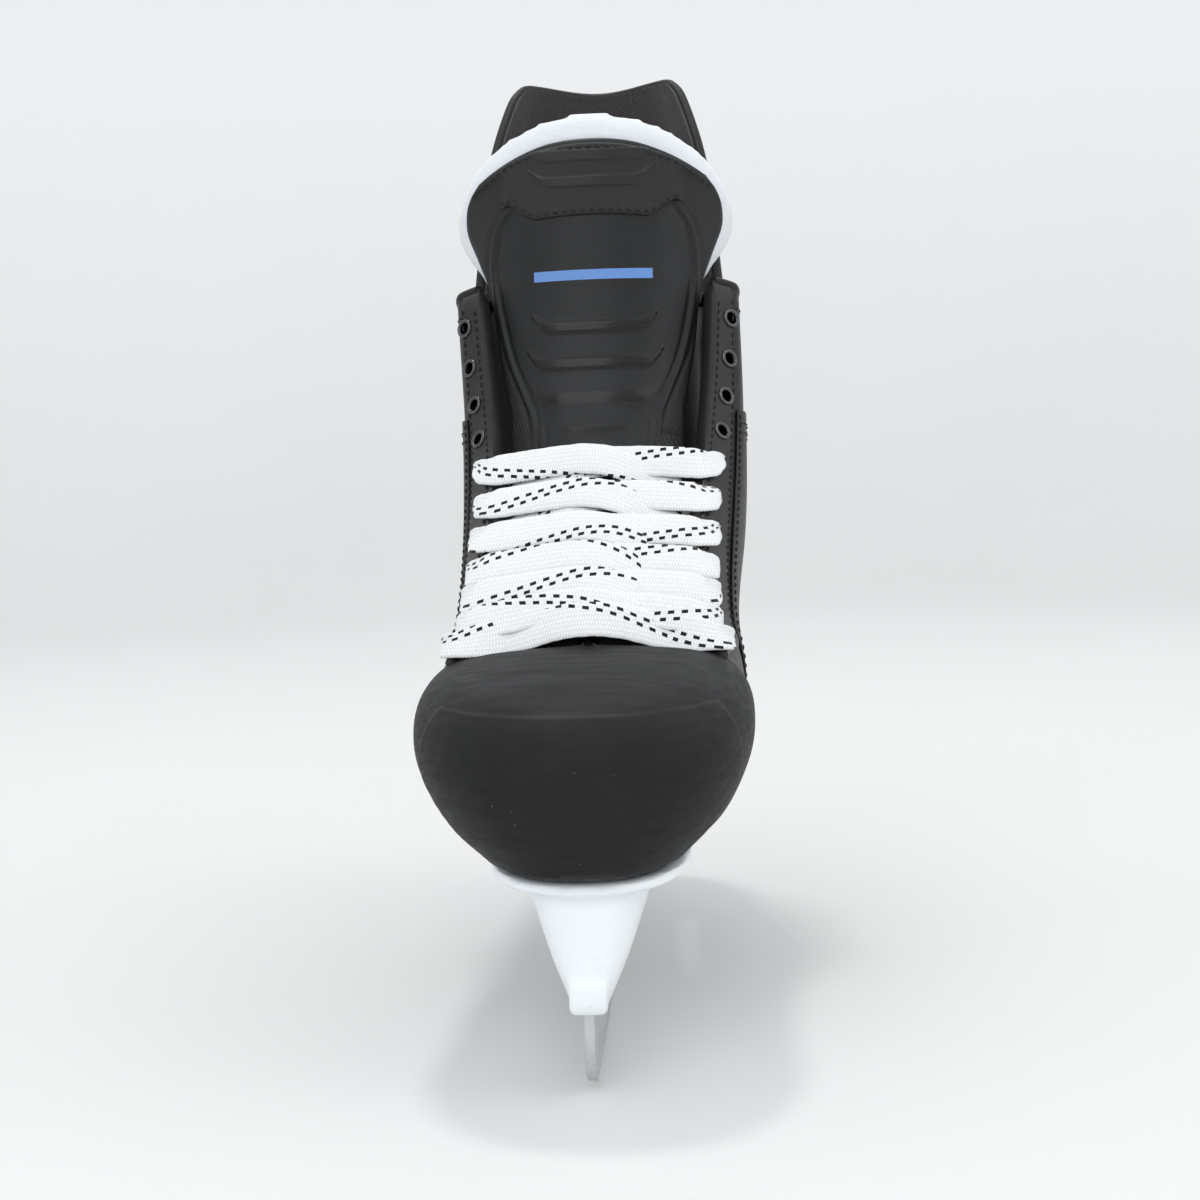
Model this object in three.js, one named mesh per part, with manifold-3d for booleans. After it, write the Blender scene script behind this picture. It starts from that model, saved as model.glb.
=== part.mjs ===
// One right-foot ice hockey skate: a moulded boot with a toe cap, a felt-backed tongue and a tendon guard,
// laced with a flat lace, riveted to a plastic holder that carries a quick-release steel runner.
// Millimetres. +Z is up, the toe points to -Y, the lateral side is -X and the medial side +X.
// The origin is the middle of the runner's edge, where it touches the ice.
import * as THREE from 'three';
import Module from 'manifold-3d';
import { mergeVertices } from 'three/addons/utils/BufferGeometryUtils.js';

const wasm = await Module();
wasm.setup();
const skate = new THREE.Group();

const LATERAL = -1;
const MEDIAL = 1;
const SIDES = [['lateral', LATERAL], ['medial', MEDIAL]];

// Driving sizes
const gap = 0.35; // between parts that touch
const toeY = -155;
const soleToeZ = 67.5; // top of the outsole at the toe
const soleRise = 13; // the heel stands this much higher
const soleThickness = 4;
const shellThickness = 3;
const facingThickness = 1.4; // leather strip that carries the eyelets
const eyeletCount = 11;
const lacedPairs = 7;
const eyeletHole = 2.4; // radius
const laceWidth = 10;
const laceThickness = 1.5;
const runnerThickness = 3;
const runnerDepth = 25; // steel that shows under the holder
const holderBottomZ = runnerDepth;

const lerp = (a, b, t) => a + (b - a) * t;
const clamp = (x, a, b) => Math.min(b, Math.max(a, x));

// A smooth curve through a few [position, value] knots.
function knots(points) {
  return (t) => {
    const last = points.length - 1;
    if (t <= points[0][0]) return points[0][1];
    if (t >= points[last][0]) return points[last][1];
    let i = 0;
    while (t > points[i + 1][0]) i += 1;
    const slope = (a, b) => (points[b][1] - points[a][1]) / (points[b][0] - points[a][0]);
    const step = points[i + 1][0] - points[i][0];
    const m0 = slope(Math.max(i - 1, 0), i + 1);
    const m1 = slope(i, Math.min(i + 2, last));
    const x = (t - points[i][0]) / step;
    return (
      points[i][1] * (2 * x ** 3 - 3 * x ** 2 + 1) +
      points[i + 1][1] * (3 * x ** 2 - 2 * x ** 3) +
      m0 * step * (x ** 3 - 2 * x ** 2 + x) +
      m1 * step * (x ** 3 - x ** 2)
    );
  };
}

// Turns any three.js geometry into a manifold-3d solid, and back.
function solid(geometry) {
  const bare = geometry.index ? geometry.toNonIndexed() : geometry.clone();
  bare.deleteAttribute('normal');
  bare.deleteAttribute('uv');
  const merged = mergeVertices(bare, 1e-3);
  return new wasm.Manifold(
    new wasm.Mesh({
      numProp: 3,
      vertProperties: merged.attributes.position.array,
      triVerts: new Uint32Array(merged.index.array),
    }),
  );
}

function geometryOf(manifold) {
  const mesh = manifold.getMesh();
  const geometry = new THREE.BufferGeometry();
  geometry.setAttribute('position', new THREE.BufferAttribute(new Float32Array(mesh.vertProperties), 3));
  geometry.setIndex(Array.from(mesh.triVerts));
  return geometry;
}

// A cut can leave loose slivers; only the main piece is kept.
function largest(manifold) {
  return manifold.decompose().sort((a, b) => b.volume() - a.volume())[0];
}

function add(name, shape, material) {
  const geometry = shape.isBufferGeometry ? shape : geometryOf(shape);
  const mesh = new THREE.Mesh(geometry, material);
  mesh.name = name;
  skate.add(mesh);
  return mesh;
}

// A closed wall between an outer and an inner grid of points, each grid[row][column].
function wall(outer, inner) {
  const rows = outer.length;
  const columns = outer[0].length;
  const points = [...outer.flat(), ...inner.flat()];
  const at = (layer, r, c) => layer * rows * columns + r * columns + c;
  const index = [];
  const quad = (a, b, c, d) => index.push(a, b, c, a, c, d);
  for (let r = 0; r + 1 < rows; r += 1) {
    for (let c = 0; c + 1 < columns; c += 1) {
      quad(at(0, r, c), at(0, r, c + 1), at(0, r + 1, c + 1), at(0, r + 1, c));
      quad(at(1, r, c), at(1, r + 1, c), at(1, r + 1, c + 1), at(1, r, c + 1));
    }
  }
  for (let c = 0; c + 1 < columns; c += 1) {
    quad(at(0, 0, c), at(1, 0, c), at(1, 0, c + 1), at(0, 0, c + 1));
    quad(at(0, rows - 1, c), at(0, rows - 1, c + 1), at(1, rows - 1, c + 1), at(1, rows - 1, c));
  }
  for (let r = 0; r + 1 < rows; r += 1) {
    quad(at(0, r, 0), at(0, r + 1, 0), at(1, r + 1, 0), at(1, r, 0));
    quad(at(0, r, columns - 1), at(1, r, columns - 1), at(1, r + 1, columns - 1), at(0, r + 1, columns - 1));
  }
  const geometry = new THREE.BufferGeometry();
  const flat = points.flatMap((p) => [p.x, p.y, p.z]);
  geometry.setAttribute('position', new THREE.BufferAttribute(new Float32Array(flat), 3));
  geometry.setIndex(index);
  const made = solid(geometry);
  return made.volume() < 0 ? solid(flipped(geometry)) : made;
}

function flipped(geometry) {
  const turned = geometry.clone();
  const index = turned.index.array;
  for (let i = 0; i < index.length; i += 3) {
    [index[i + 1], index[i + 2]] = [index[i + 2], index[i + 1]];
  }
  return turned;
}

// A prism: a closed outline in the YZ plane, pushed out along X between two planes.
function sidePrism(outline, xFrom, xTo) {
  const shape = new THREE.Shape(outline.map(([y, z]) => new THREE.Vector2(y, z)));
  const geometry = new THREE.ExtrudeGeometry(shape, { depth: xTo - xFrom, bevelEnabled: false });
  geometry.applyMatrix4(
    new THREE.Matrix4().set(0, 0, 1, xFrom, 1, 0, 0, 0, 0, 1, 0, 0, 0, 0, 0, 1),
  );
  return solid(geometry);
}

function box(x0, x1, y0, y1, z0, z1) {
  const geometry = new THREE.BoxGeometry(x1 - x0, y1 - y0, z1 - z0);
  geometry.translate((x0 + x1) / 2, (y0 + y1) / 2, (z0 + z1) / 2);
  return solid(geometry);
}

function rod(radius, from, to, segments = 10) {
  const a = new THREE.Vector3(...from);
  const b = new THREE.Vector3(...to);
  const geometry = new THREE.CylinderGeometry(radius, radius, a.distanceTo(b), segments);
  const ahead = b.clone().sub(a).normalize();
  const turn = new THREE.Quaternion().setFromUnitVectors(new THREE.Vector3(0, 1, 0), ahead);
  geometry.applyQuaternion(turn);
  geometry.translate((a.x + b.x) / 2, (a.y + b.y) / 2, (a.z + b.z) / 2);
  return solid(geometry);
}

// A body lofted up through level outlines: each level is {z, outline: [[x, y], ...]} with equal counts.
function loft(levels) {
  const count = levels[0].outline.length;
  const points = levels.flatMap((level) => level.outline.map(([x, y, dz = 0]) => [x, y, level.z + dz]));
  const index = [];
  for (let l = 0; l + 1 < levels.length; l += 1) {
    for (let i = 0; i < count; i += 1) {
      const j = (i + 1) % count;
      const a = l * count;
      const b = a + count;
      index.push(a + i, a + j, b + j, a + i, b + j, b + i);
    }
  }
  const top = (levels.length - 1) * count;
  const contour = (level) => level.outline.map(([x, y]) => new THREE.Vector2(x, y));
  for (const [a, b, c] of THREE.ShapeUtils.triangulateShape(contour(levels[0]), [])) index.push(a, c, b);
  for (const [a, b, c] of THREE.ShapeUtils.triangulateShape(contour(levels.at(-1)), [])) {
    index.push(top + a, top + b, top + c);
  }
  const geometry = new THREE.BufferGeometry();
  geometry.setAttribute('position', new THREE.BufferAttribute(new Float32Array(points.flat()), 3));
  geometry.setIndex(index);
  const made = solid(geometry);
  return made.volume() < 0 ? solid(flipped(geometry)) : made;
}

// An oval outline that is boxier for a higher power: half sizes a (X) and b (Y) about a centre.
function oval(a, b, centreX, centreY, power, count = 20) {
  const outline = [];
  for (let i = 0; i < count; i += 1) {
    const angle = (i / count) * Math.PI * 2;
    const c = Math.cos(angle);
    const s = Math.sin(angle);
    outline.push([
      centreX + a * Math.sign(c) * Math.abs(c) ** (2 / power),
      centreY + b * Math.sign(s) * Math.abs(s) ** (2 / power),
    ]);
  }
  return outline;
}

const finish = (color, roughness, metalness = 0) => (
  new THREE.MeshStandardMaterial({ color, roughness, metalness })
);
const blackShell = finish(0x1d1e20, 0.45);
const toeRubber = finish(0x2a2b2c, 0.75);
const blackLeather = finish(0x1a1b1d, 0.5);
const blackNylon = finish(0x232427, 0.6);
const liningCloth = finish(0x2a2a2c, 0.95);
const whiteFelt = finish(0xe6ecf0, 0.95);
const whiteNylon = finish(0xeef3f5, 0.4);
const laceWhite = finish(0xf2f2f2, 0.9);
const aglet = finish(0xd8d8d8, 0.3);
const steel = finish(0xb9bdc0, 0.22, 1);
const nickel = finish(0x55565a, 0.35, 1);
const zincPlate = finish(0xa8a9ab, 0.35, 1);
const foam = finish(0x30343a, 0.95);
const carbon = finish(0x17181a, 0.35);

// ---------------------------------------------------------------------------------------------------------
// The boot's surface. v runs up from the sole (0) to the collar (1), u from the heel's centre (0) to the
// front edge of the quarter (1).
const frontSeam = 0.27; // v where the front edge turns from the toe cap seam into the lace opening
const frontY = knots([[0, -91], [0.12, -90], [0.2, -87], [0.27, -80], [0.32, -73], [0.4, -59],
  [0.5, -40], [0.6, -18], [0.7, 4], [0.78, 18], [0.88, 31], [1, 43]]);
const frontZ = knots([[0, 68.7], [0.12, 89.5], [0.2, 106.5], [0.27, 120.5], [0.32, 127], [0.4, 137.5],
  [0.5, 150.5], [0.6, 165], [0.7, 181.5], [0.78, 196.5], [0.88, 220.5], [1, 253.5]]);
const backY = knots([[0, 143], [0.1, 147], [0.25, 148], [0.4, 145], [0.55, 139], [0.75, 129], [0.9, 126],
  [1, 127]]);
const backZ = knots([[0, 78.5], [0.12, 95.5], [0.25, 117.5], [0.5, 159.5], [0.75, 211.5], [1, 259.5]]);
const heelRadius = knots([[0, 32], [0.25, 38], [0.5, 44], [0.75, 50], [1, 56]]);
const heelWidth = knots([[0, 27], [0.06, 33.5], [0.12, 36.5], [0.22, 39.5], [0.35, 41.5], [0.5, 43],
  [0.75, 44.5], [1, 46]]);
const waistWidth = knots([[0, 24.5], [0.06, 30.5], [0.12, 34], [0.22, 40], [0.35, 44], [0.5, 47.5],
  [0.75, 50], [1, 53]]);
const ballWidth = knots([[0, 29], [0.06, 40], [0.12, 46], [0.22, 49.5], [0.35, 48], [0.5, 48],
  [0.75, 50.5], [1, 54]]);
const edgeWidth = knots([[0, 33.5], [0.06, 44.5], [0.12, 50], [0.19, 52.3], [0.24, 49.5], [0.27, 45.5],
  [0.32, 39], [0.4, 36.5], [0.6, 36], [0.7, 37], [0.78, 38.5], [0.88, 41.5], [1, 45]]);
const lateralSwell = knots([[-155, 1.04], [-90, 1.035], [-30, 1.02], [40, 1]]);
const medialSwell = knots([[-155, 0.985], [-90, 0.985], [-30, 1.02], [40, 1.09], [100, 1.04],
  [140, 1]]);
const medialRise = knots([[0, 0], [0.25, 0.2], [0.5, 1], [0.8, 0.7], [1, 0.1]]);
function sideSwell(side, v, y) {
  if (side === LATERAL) return lateralSwell(y);
  const swell = medialSwell(y);
  return swell > 1 ? 1 + (swell - 1) * medialRise(v) : swell;
}
const heelShare = 0.38;

function bootSurface(side, v, u) {
  const yBack = backY(v);
  const radius = heelRadius(v);
  const heel = heelWidth(v);
  let x;
  let y;
  if (u < heelShare) {
    const angle = (u / heelShare) * (Math.PI / 2);
    x = heel * Math.sin(angle) ** 0.94;
    y = yBack - radius + radius * Math.cos(angle);
  } else {
    const q = (u - heelShare) / (1 - heelShare);
    x = knots([[0, heel], [0.35, waistWidth(v)], [0.72, ballWidth(v)], [1, edgeWidth(v)]])(q);
    y = lerp(yBack - radius, frontY(v), q);
  }
  const along = (yBack - y) / (yBack - frontY(v));
  const collarDip = 11 * clamp((v - 0.7) / 0.3, 0, 1) ** 2 * Math.sin(Math.PI * clamp(along, 0, 1));
  const z = lerp(backZ(v), frontZ(v), along) - collarDip;
  return new THREE.Vector3(side * x * sideSwell(side, v, y), y, z);
}

// The surface's outward normal, by small steps over it.
function bootNormal(side, v, u) {
  const step = 0.004;
  const u0 = Math.max(u - step, 0.0001);
  const u1 = Math.min(u + step, 1);
  const v0 = Math.max(v - step, 0);
  const v1 = Math.min(v + step, 1);
  const along = bootSurface(side, v, u1).sub(bootSurface(side, v, u0));
  const up = bootSurface(side, v1, u).sub(bootSurface(side, v0, u));
  return along.cross(up).normalize().multiplyScalar(-side);
}

const bootPoint = (side, v, u, depth) => (
  bootSurface(side, v, u).addScaledVector(bootNormal(side, v, u), -depth)
);

// Grid columns run from one side's front edge round the heel to the other side's.
function bootGrid(depth, vFrom, vTo, rows, columnsPerSide, uFront = 1) {
  const grid = [];
  for (let r = 0; r <= rows; r += 1) {
    const v = lerp(vFrom, vTo, r / rows);
    const row = [];
    for (let c = -columnsPerSide; c <= columnsPerSide; c += 1) {
      const u = (Math.abs(c) / columnsPerSide) * uFront;
      if (c === 0) {
        const p = bootSurface(MEDIAL, v, 0);
        const n = bootNormal(MEDIAL, v, 0.002);
        row.push(new THREE.Vector3(0, p.y - n.y * depth, p.z - n.z * depth));
      } else {
        row.push(bootPoint(c < 0 ? LATERAL : MEDIAL, v, u, depth));
      }
    }
    grid.push(row);
  }
  return grid;
}

// Eyelets stand in a line just behind the lace opening's edge. The lowest pair is in the toe cap's corners.
const eyeletInset = 7.5;
const eyeletRim = eyeletHole + 2;
const firstEyeletV = 0.295;
const lastEyeletV = 0.945;
function eyeletPlace(side, i) {
  const v = knots([[0, firstEyeletV], [3, 0.48], [6, 0.7], [10, lastEyeletV]])(i);
  let u = 1;
  const edge = bootSurface(side, v, 1);
  while (edge.distanceTo(bootSurface(side, v, u)) < eyeletInset) u -= 0.002;
  return { v, u, point: bootSurface(side, v, u), normal: bootNormal(side, v, 0.96) };
}

const shellRows = 11;
const shellColumns = 9;
const shellGrid = (depth) => bootGrid(depth, 0, 1, shellRows, shellColumns);
let shell = wall(shellGrid(0), shellGrid(shellThickness));
const holes = [];
const rimSeats = []; // keeps the facing strips clear of the eyelets' rims
const clenchRooms = []; // and the liner clear of their inner ends
const rimBase = gap + facingThickness + 0.7;
for (const [, side] of SIDES) {
  for (let i = 0; i < eyeletCount; i += 1) {
    const { point, normal } = eyeletPlace(side, i);
    const out = point.clone().addScaledVector(normal, 6).toArray();
    const into = point.clone().addScaledVector(normal, -8).toArray();
    holes.push(rod(eyeletHole + 1.05, out, into, 6));
    rimSeats.push(rod(eyeletRim + 0.5, point.clone().addScaledVector(normal, rimBase - gap).toArray(), out, 6));
    clenchRooms.push(rod(eyeletHole + 1.5, point.clone().addScaledVector(normal, -2).toArray(), into, 8));
  }
}
for (const hole of holes) shell = shell.subtract(hole);
add('quarter_shell', shell, blackShell);

// ---------------------------------------------------------------------------------------------------------
// Facing strips on the quarter's edge, each carrying a row of eyelets.
// They follow the shell's own last column of facets.
for (const [name, side] of SIDES) {
  const outer = [];
  const inner = [];
  for (let r = 3; r <= shellRows; r += 1) {
    const v = r / shellRows - (r === shellRows ? 0.004 : 0);
    const back = bootSurface(side, v, 1 - 1 / shellColumns);
    const front = bootSurface(side, v, 1);
    const normal = bootNormal(side, v, 0.96);
    const ends = side === LATERAL ? [0.975, 0.06] : [0.06, 0.975];
    const layer = (rise) => ends.map((s) => back.clone().lerp(front, s).addScaledVector(normal, rise));
    outer.push(layer(gap + facingThickness));
    inner.push(layer(gap));
  }
  const strip = [...holes, ...rimSeats].reduce((left, cut) => left.subtract(cut), wall(outer, inner));
  add(`facing_strip_${name}`, strip, blackLeather);
}

// An eyelet: a short tube with a rolled rim on the outside and a clenched rim inside.
for (const [name, side] of SIDES) {
  for (let i = 0; i < eyeletCount; i += 1) {
    const { point, normal } = eyeletPlace(side, i);
    const profile = [
      [eyeletHole, -shellThickness - 0.9],
      [eyeletHole + 0.6, -shellThickness - 0.9],
      [eyeletHole + 0.6, rimBase],
      [eyeletRim, rimBase],
      [eyeletHole, rimBase + 0.8],
      [eyeletHole, -shellThickness - 0.9],
    ].map(([r, h]) => new THREE.Vector2(r, h));
    const ring = new THREE.LatheGeometry(profile, 7);
    const mesh = add(`eyelet_${name}_${String(i + 1).padStart(2, '0')}`, closedLathe(ring), nickel);
    mesh.quaternion.setFromUnitVectors(new THREE.Vector3(0, 1, 0), normal);
    mesh.position.copy(point);
  }
}

function closedLathe(geometry) {
  const made = solid(geometry);
  return made.volume() < 0 ? geometryOf(solid(flipped(geometry))) : geometryOf(made);
}

// ---------------------------------------------------------------------------------------------------------
// Toe cap: level U-shaped outlines from the sole (t = 0) over the brow to the crown (t = 1). c runs round
// from the lateral back edge (-1) past the nose (0) to the medial back edge (1).
const toeHalfWidth = knots([[0, 34.5], [0.12, 44], [0.28, 51.6], [0.42, 54], [0.58, 52.4], [0.7, 46.4],
  [0.78, 38], [0.88, 22], [1, 1.2]]);
const toeNoseY = knots([[0, -146], [0.15, -151.5], [0.38, toeY], [0.55, -153.5], [0.68, -148],
  [0.76, -139], [0.88, -113], [1, -80]]);
const toeNoseZ = knots([[0, 66], [0.15, 78.5], [0.38, 93.5], [0.55, 105.5], [0.68, 114.5], [0.76, 119],
  [0.88, 124], [1, 127]]);
const toeBackZ = knots([[0, 68.7], [0.12, 76.5], [0.28, 91.5], [0.42, 102.5], [0.58, 113.5], [0.7, 121],
  [0.78, 124.5], [0.88, 126.5], [1, 127.7]]);

// The quarter's front edge at a height, below the lace opening; above it the cap ends in a level line.
function toeBackY(z) {
  let v = 0;
  while (v < frontSeam && frontZ(v) < z) v += 0.004;
  return frontY(v) - gap;
}

function toePoint(t, c) {
  const angle = Math.abs(c) * (Math.PI / 2);
  const side = c < 0 ? LATERAL : MEDIAL;
  const back = toeBackY(toeBackZ(t));
  const around = Math.sin(angle);
  const ahead = Math.cos(angle);
  const x = toeHalfWidth(t) * around ** 0.86;
  const y = lerp(back, toeNoseY(t), ahead ** 0.92);
  const z = lerp(toeBackZ(t), toeNoseZ(t), ahead);
  return new THREE.Vector3(side * x * sideSwell(side, 0, y), y, z);
}

function toeNormal(t, c) {
  const dt = 0.004;
  const t0 = Math.max(t - dt, 0);
  const t1 = Math.min(t + dt, 0.999);
  const c0 = Math.max(c - 0.01, -1);
  const c1 = Math.min(c + 0.01, 1);
  const round = toePoint(t, c1).sub(toePoint(t, c0));
  const up = toePoint(t1, c).sub(toePoint(t0, c));
  return round.cross(up).normalize();
}

function toeGrid(depth) {
  const rows = 9;
  const columns = 14;
  const grid = [];
  for (let r = 0; r <= rows; r += 1) {
    const t = r / rows;
    const row = [];
    for (let i = 0; i <= columns; i += 1) {
      const c = lerp(-1, 1, i / columns);
      const inward = toeNormal(t, c).multiplyScalar(-depth);
      // The wall grows inward and never across the back edge's plane.
      const p = toePoint(t, c).add(inward);
      p.y = Math.max(Math.min(p.y, toeBackY(toeBackZ(t))), toeY);
      row.push(p);
    }
    grid.push(row);
  }
  return grid;
}
const shellEnvelope = wall(shellGrid(-gap), shellGrid(shellThickness + gap));
const shellStep = shellEnvelope.translate([0, -gap, 0]);
const toeDome = wall(toeGrid(0), toeGrid(shellThickness));
add('toe_cap', largest(toeDome.subtract(shellEnvelope).subtract(shellStep)), toeRubber);

// ---------------------------------------------------------------------------------------------------------
// Outsole, insole board and footbed: plates cut to the boot's sole outline, drawn in by a margin.
const soleTop = (y) => soleToeZ + (soleRise * (y - toeY)) / 300;

function soleOutline(margin) {
  const outline = [];
  const push = (p, inwardX, inwardY) => outline.push([p.x + inwardX * margin, p.y + inwardY * margin]);
  for (let i = 0; i <= 8; i += 1) {
    const c = lerp(-0.95, 0.95, i / 8);
    const p = toePoint(0, c);
    const reach = Math.hypot(p.x, p.y + 90);
    push(p, -p.x / reach, -(p.y + 90) / reach);
  }
  const sideColumns = [1, 0.86, 0.72, 0.58, 0.44, 0.3, 0.16];
  for (const u of sideColumns) {
    const p = bootSurface(MEDIAL, 0, u);
    const n = bootNormal(MEDIAL, 0.01, Math.max(u, 0.01));
    const reach = Math.hypot(n.x, n.y);
    push(p, -n.x / reach, -n.y / reach);
  }
  push(bootSurface(MEDIAL, 0, 0), 0, -1);
  for (const u of [...sideColumns].reverse()) {
    const p = bootSurface(LATERAL, 0, u);
    const n = bootNormal(LATERAL, 0.01, Math.max(u, 0.01));
    const reach = Math.hypot(n.x, n.y);
    push(p, -n.x / reach, -n.y / reach);
  }
  return outline;
}

// A plate that follows the sole's slope, between two heights over it.
function slopedPlate(outline, from, to) {
  const level = (rise) => ({ z: 0, outline: outline.map(([x, y]) => [x, y, soleTop(y) + rise]) });
  return loft([level(from), level(to)]);
}

const flangeTop = -soleThickness - 2 * gap;
const flangeThickness = 4;
const flangeBottom = flangeTop - flangeThickness;
const rivets = [[-21, -120], [21, -120], [-25, -92], [25, -92], [-19, -58], [19, -58], [-17, 74],
  [17, 74], [-17, 122], [17, 122]];
const rivetRadius = 1.9;
const rivetHead = 4;
const rivetHoles = (radius) => (
  rivets.map(([x, y]) => rod(radius, [x, y, soleTop(y) - 20], [x, y, soleTop(y) + 12], 10))
);
const bore = (plate, radius) => rivetHoles(radius).reduce((left, hole) => left.subtract(hole), plate);

const boardFrom = 0.5;
const boardTo = 2.5;
const outsole = slopedPlate(soleOutline(4.4), -gap - soleThickness, -gap);
add('outsole', bore(outsole, rivetRadius + gap), carbon);
add('insole_board', bore(slopedPlate(soleOutline(5.4), boardFrom, boardTo), rivetHead + gap), liningCloth);
add('footbed', slopedPlate(soleOutline(6), boardTo + gap, 7), foam);

rivets.forEach(([x, y], i) => {
  const foot = soleTop(y) + flangeBottom - gap;
  const profile = [[0, -1.6], [rivetHead - 0.8, -1.6], [rivetHead, 0], [rivetRadius, 0],
    [rivetRadius, 9.1 + gap], [rivetHead - 0.4, 9.1 + gap], [rivetHead - 0.8, 10.2], [0, 10.2]];
  const lathe = new THREE.LatheGeometry(profile.map(([r, h]) => new THREE.Vector2(r, h)), 8);
  const mesh = add(`holder_rivet_${String(i + 1).padStart(2, '0')}`, closedLathe(lathe), zincPlate);
  mesh.rotation.x = Math.PI / 2;
  mesh.position.set(x, y, foot);
});

// ---------------------------------------------------------------------------------------------------------
// Liner: a padded wall inside the quarter that stops short of the lacing.
const linerFrom = shellThickness + gap;
const linerThickness = 4.2;
const linerTo = linerFrom + linerThickness;
const linerColumns = shellColumns - 1;
const linerGrid = (depth) => (
  bootGrid(depth, 1 / shellRows, 1, shellRows - 1, linerColumns, linerColumns / shellColumns)
);
const linerWall = wall(linerGrid(linerFrom), linerGrid(linerTo));
const liner = clenchRooms.reduce((left, room) => left.subtract(room), linerWall);
add('liner', liner, liningCloth);

// ---------------------------------------------------------------------------------------------------------
// The tongue. Below the hinge line it lies under the laces; above it the tongue folds forward.
function frontFrame(v) {
  const v0 = Math.max(v - 0.01, 0);
  const v1 = Math.min(v + 0.01, 1);
  const ty = frontY(v1) - frontY(v0);
  const tz = frontZ(v1) - frontZ(v0);
  const size = Math.hypot(ty, tz);
  return { y: frontY(v), z: frontZ(v), ny: -tz / size, nz: ty / size };
}

const tongueProud = 5.5; // how far the tongue's crown stands ahead of the lace opening's edges
const tongueFacing = 2;
const tongueArch = (x, half) => tongueProud - 11.5 * (x / half) ** 2;

function lowerTongue(depthOuter, depthInner, marginX, vFrom, vTo) {
  const grids = [depthOuter, depthInner].map((depth) => {
    const grid = [];
    for (let r = 0; r <= 7; r += 1) {
      const v = lerp(vFrom, vTo, r / 7);
      const { y, z, ny, nz } = frontFrame(v);
      const half = edgeWidth(v) - 6.6;
      const row = [];
      for (let c = -4; c <= 4; c += 1) {
        const x = (c / 4) * (half - marginX);
        const n = tongueArch(x, half) - depth;
        row.push(new THREE.Vector3(x, y + ny * n, z + nz * n));
      }
      grid.push(row);
    }
    return grid;
  });
  return wall(...grids);
}
const hingeV = 0.77;
add('tongue_facing_lower', lowerTongue(0, tongueFacing, 0, 0.3, hingeV), blackLeather);
add('tongue_felt_lower', lowerTongue(tongueFacing + gap, tongueFacing + 6.5, 2, 0.31, hingeV), whiteFelt);

const upperY = knots([[0, 12.8], [0.25, 21.5], [0.5, 27.5], [0.75, 31], [1, 31.5]]);
const upperZ = knots([[0, 199.5], [0.25, 224.5], [0.5, 251.5], [0.75, 279.5], [1, 306.5]]);
const upperRadius = knots([[0, 50], [0.25, 50], [0.5, 55], [0.75, 66], [1, 76]]);
const upperHalf = knots([[0, 31], [0.25, 36], [0.5, 40], [0.62, 45], [0.78, 51], [0.92, 51], [1, 45]]);
const feltHalf = knots([[0, 31], [0.25, 36.5], [0.5, 40.5], [0.62, 48], [0.78, 57.5], [0.92, 58],
  [1.06, 50], [1.1, 46]]);

function upperTongue(half, depthOuter, depthInner, tFrom, tTo, rows = 8, columns = 5) {
  const grids = [depthOuter, depthInner].map((depth) => {
    const grid = [];
    for (let r = 0; r <= rows; r += 1) {
      const t = lerp(tFrom, tTo, r / rows);
      const inside = Math.min(t, 1);
      const z = t > 1 ? upperZ(1) + (t - 1) * 110 : upperZ(t);
      const radius = upperRadius(inside);
      const reach = Math.asin(half(t) / radius);
      const row = [];
      for (let c = -columns; c <= columns; c += 1) {
        const angle = (c / columns) * reach;
        row.push(new THREE.Vector3(
          (radius - depth) * Math.sin(angle),
          upperY(inside) + radius - (radius - depth) * Math.cos(angle),
          z - 0.09 * Math.abs((radius * Math.sin(angle)) ** 2 / radius) * clamp((t - 0.8) * 4, 0, 1),
        ));
      }
      grid.push(row);
    }
    return grid;
  });
  return wall(...grids);
}
add('tongue_facing_upper', upperTongue(upperHalf, 0, tongueFacing, 0, 1), blackLeather);
add('tongue_felt_upper', upperTongue(feltHalf, tongueFacing + gap + 0.6, tongueFacing + 9, 0, 1.1), whiteFelt);
const patchHalf = (t) => upperHalf(t) - 5;
add('tongue_top_patch', upperTongue(patchHalf, -gap - 0.9, -gap, 0.72, 0.985, 3, 5), blackNylon);

// ---------------------------------------------------------------------------------------------------------
// Tendon guard: a springy collar that carries on up the back of the ankle from the quarter's edge.
const guardShare = 0.47;
const guardTopHalf = 36.5;
function guardPoint(w, c) {
  const side = c < 0 ? LATERAL : MEDIAL;
  const across = Math.abs(c);
  const base = across < 1e-6 ? bootSurface(MEDIAL, 1, 0) : bootSurface(side, 1, across * guardShare);
  const angle = across * 1.02;
  const topX = guardTopHalf * Math.sin(angle) / Math.sin(1.02);
  const topY = 136 - 30 * (1 - Math.cos(angle)) / (1 - Math.cos(1.02)) * 0.72;
  const shoulder = 2.4 * Math.sin(Math.PI * clamp(across * 0.72, 0, 1)) ** 2;
  const topZ = 340 + shoulder - 25 * Math.max(across - 0.8, 0);
  const swell = Math.sin(Math.PI * w ** 1.4);
  return new THREE.Vector3(
    side * (lerp(Math.abs(base.x), topX, w) + 3.2 * swell * across),
    lerp(base.y, topY, w) - 3 * swell,
    lerp(base.z + 1.6, topZ, w),
  );
}

function guardNormal(w, c) {
  const round = guardPoint(w, Math.min(c + 0.02, 1)).sub(guardPoint(w, Math.max(c - 0.02, -1)));
  const up = guardPoint(Math.min(w + 0.02, 1), c).sub(guardPoint(Math.max(w - 0.02, 0), c));
  return round.cross(up).normalize();
}

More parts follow.
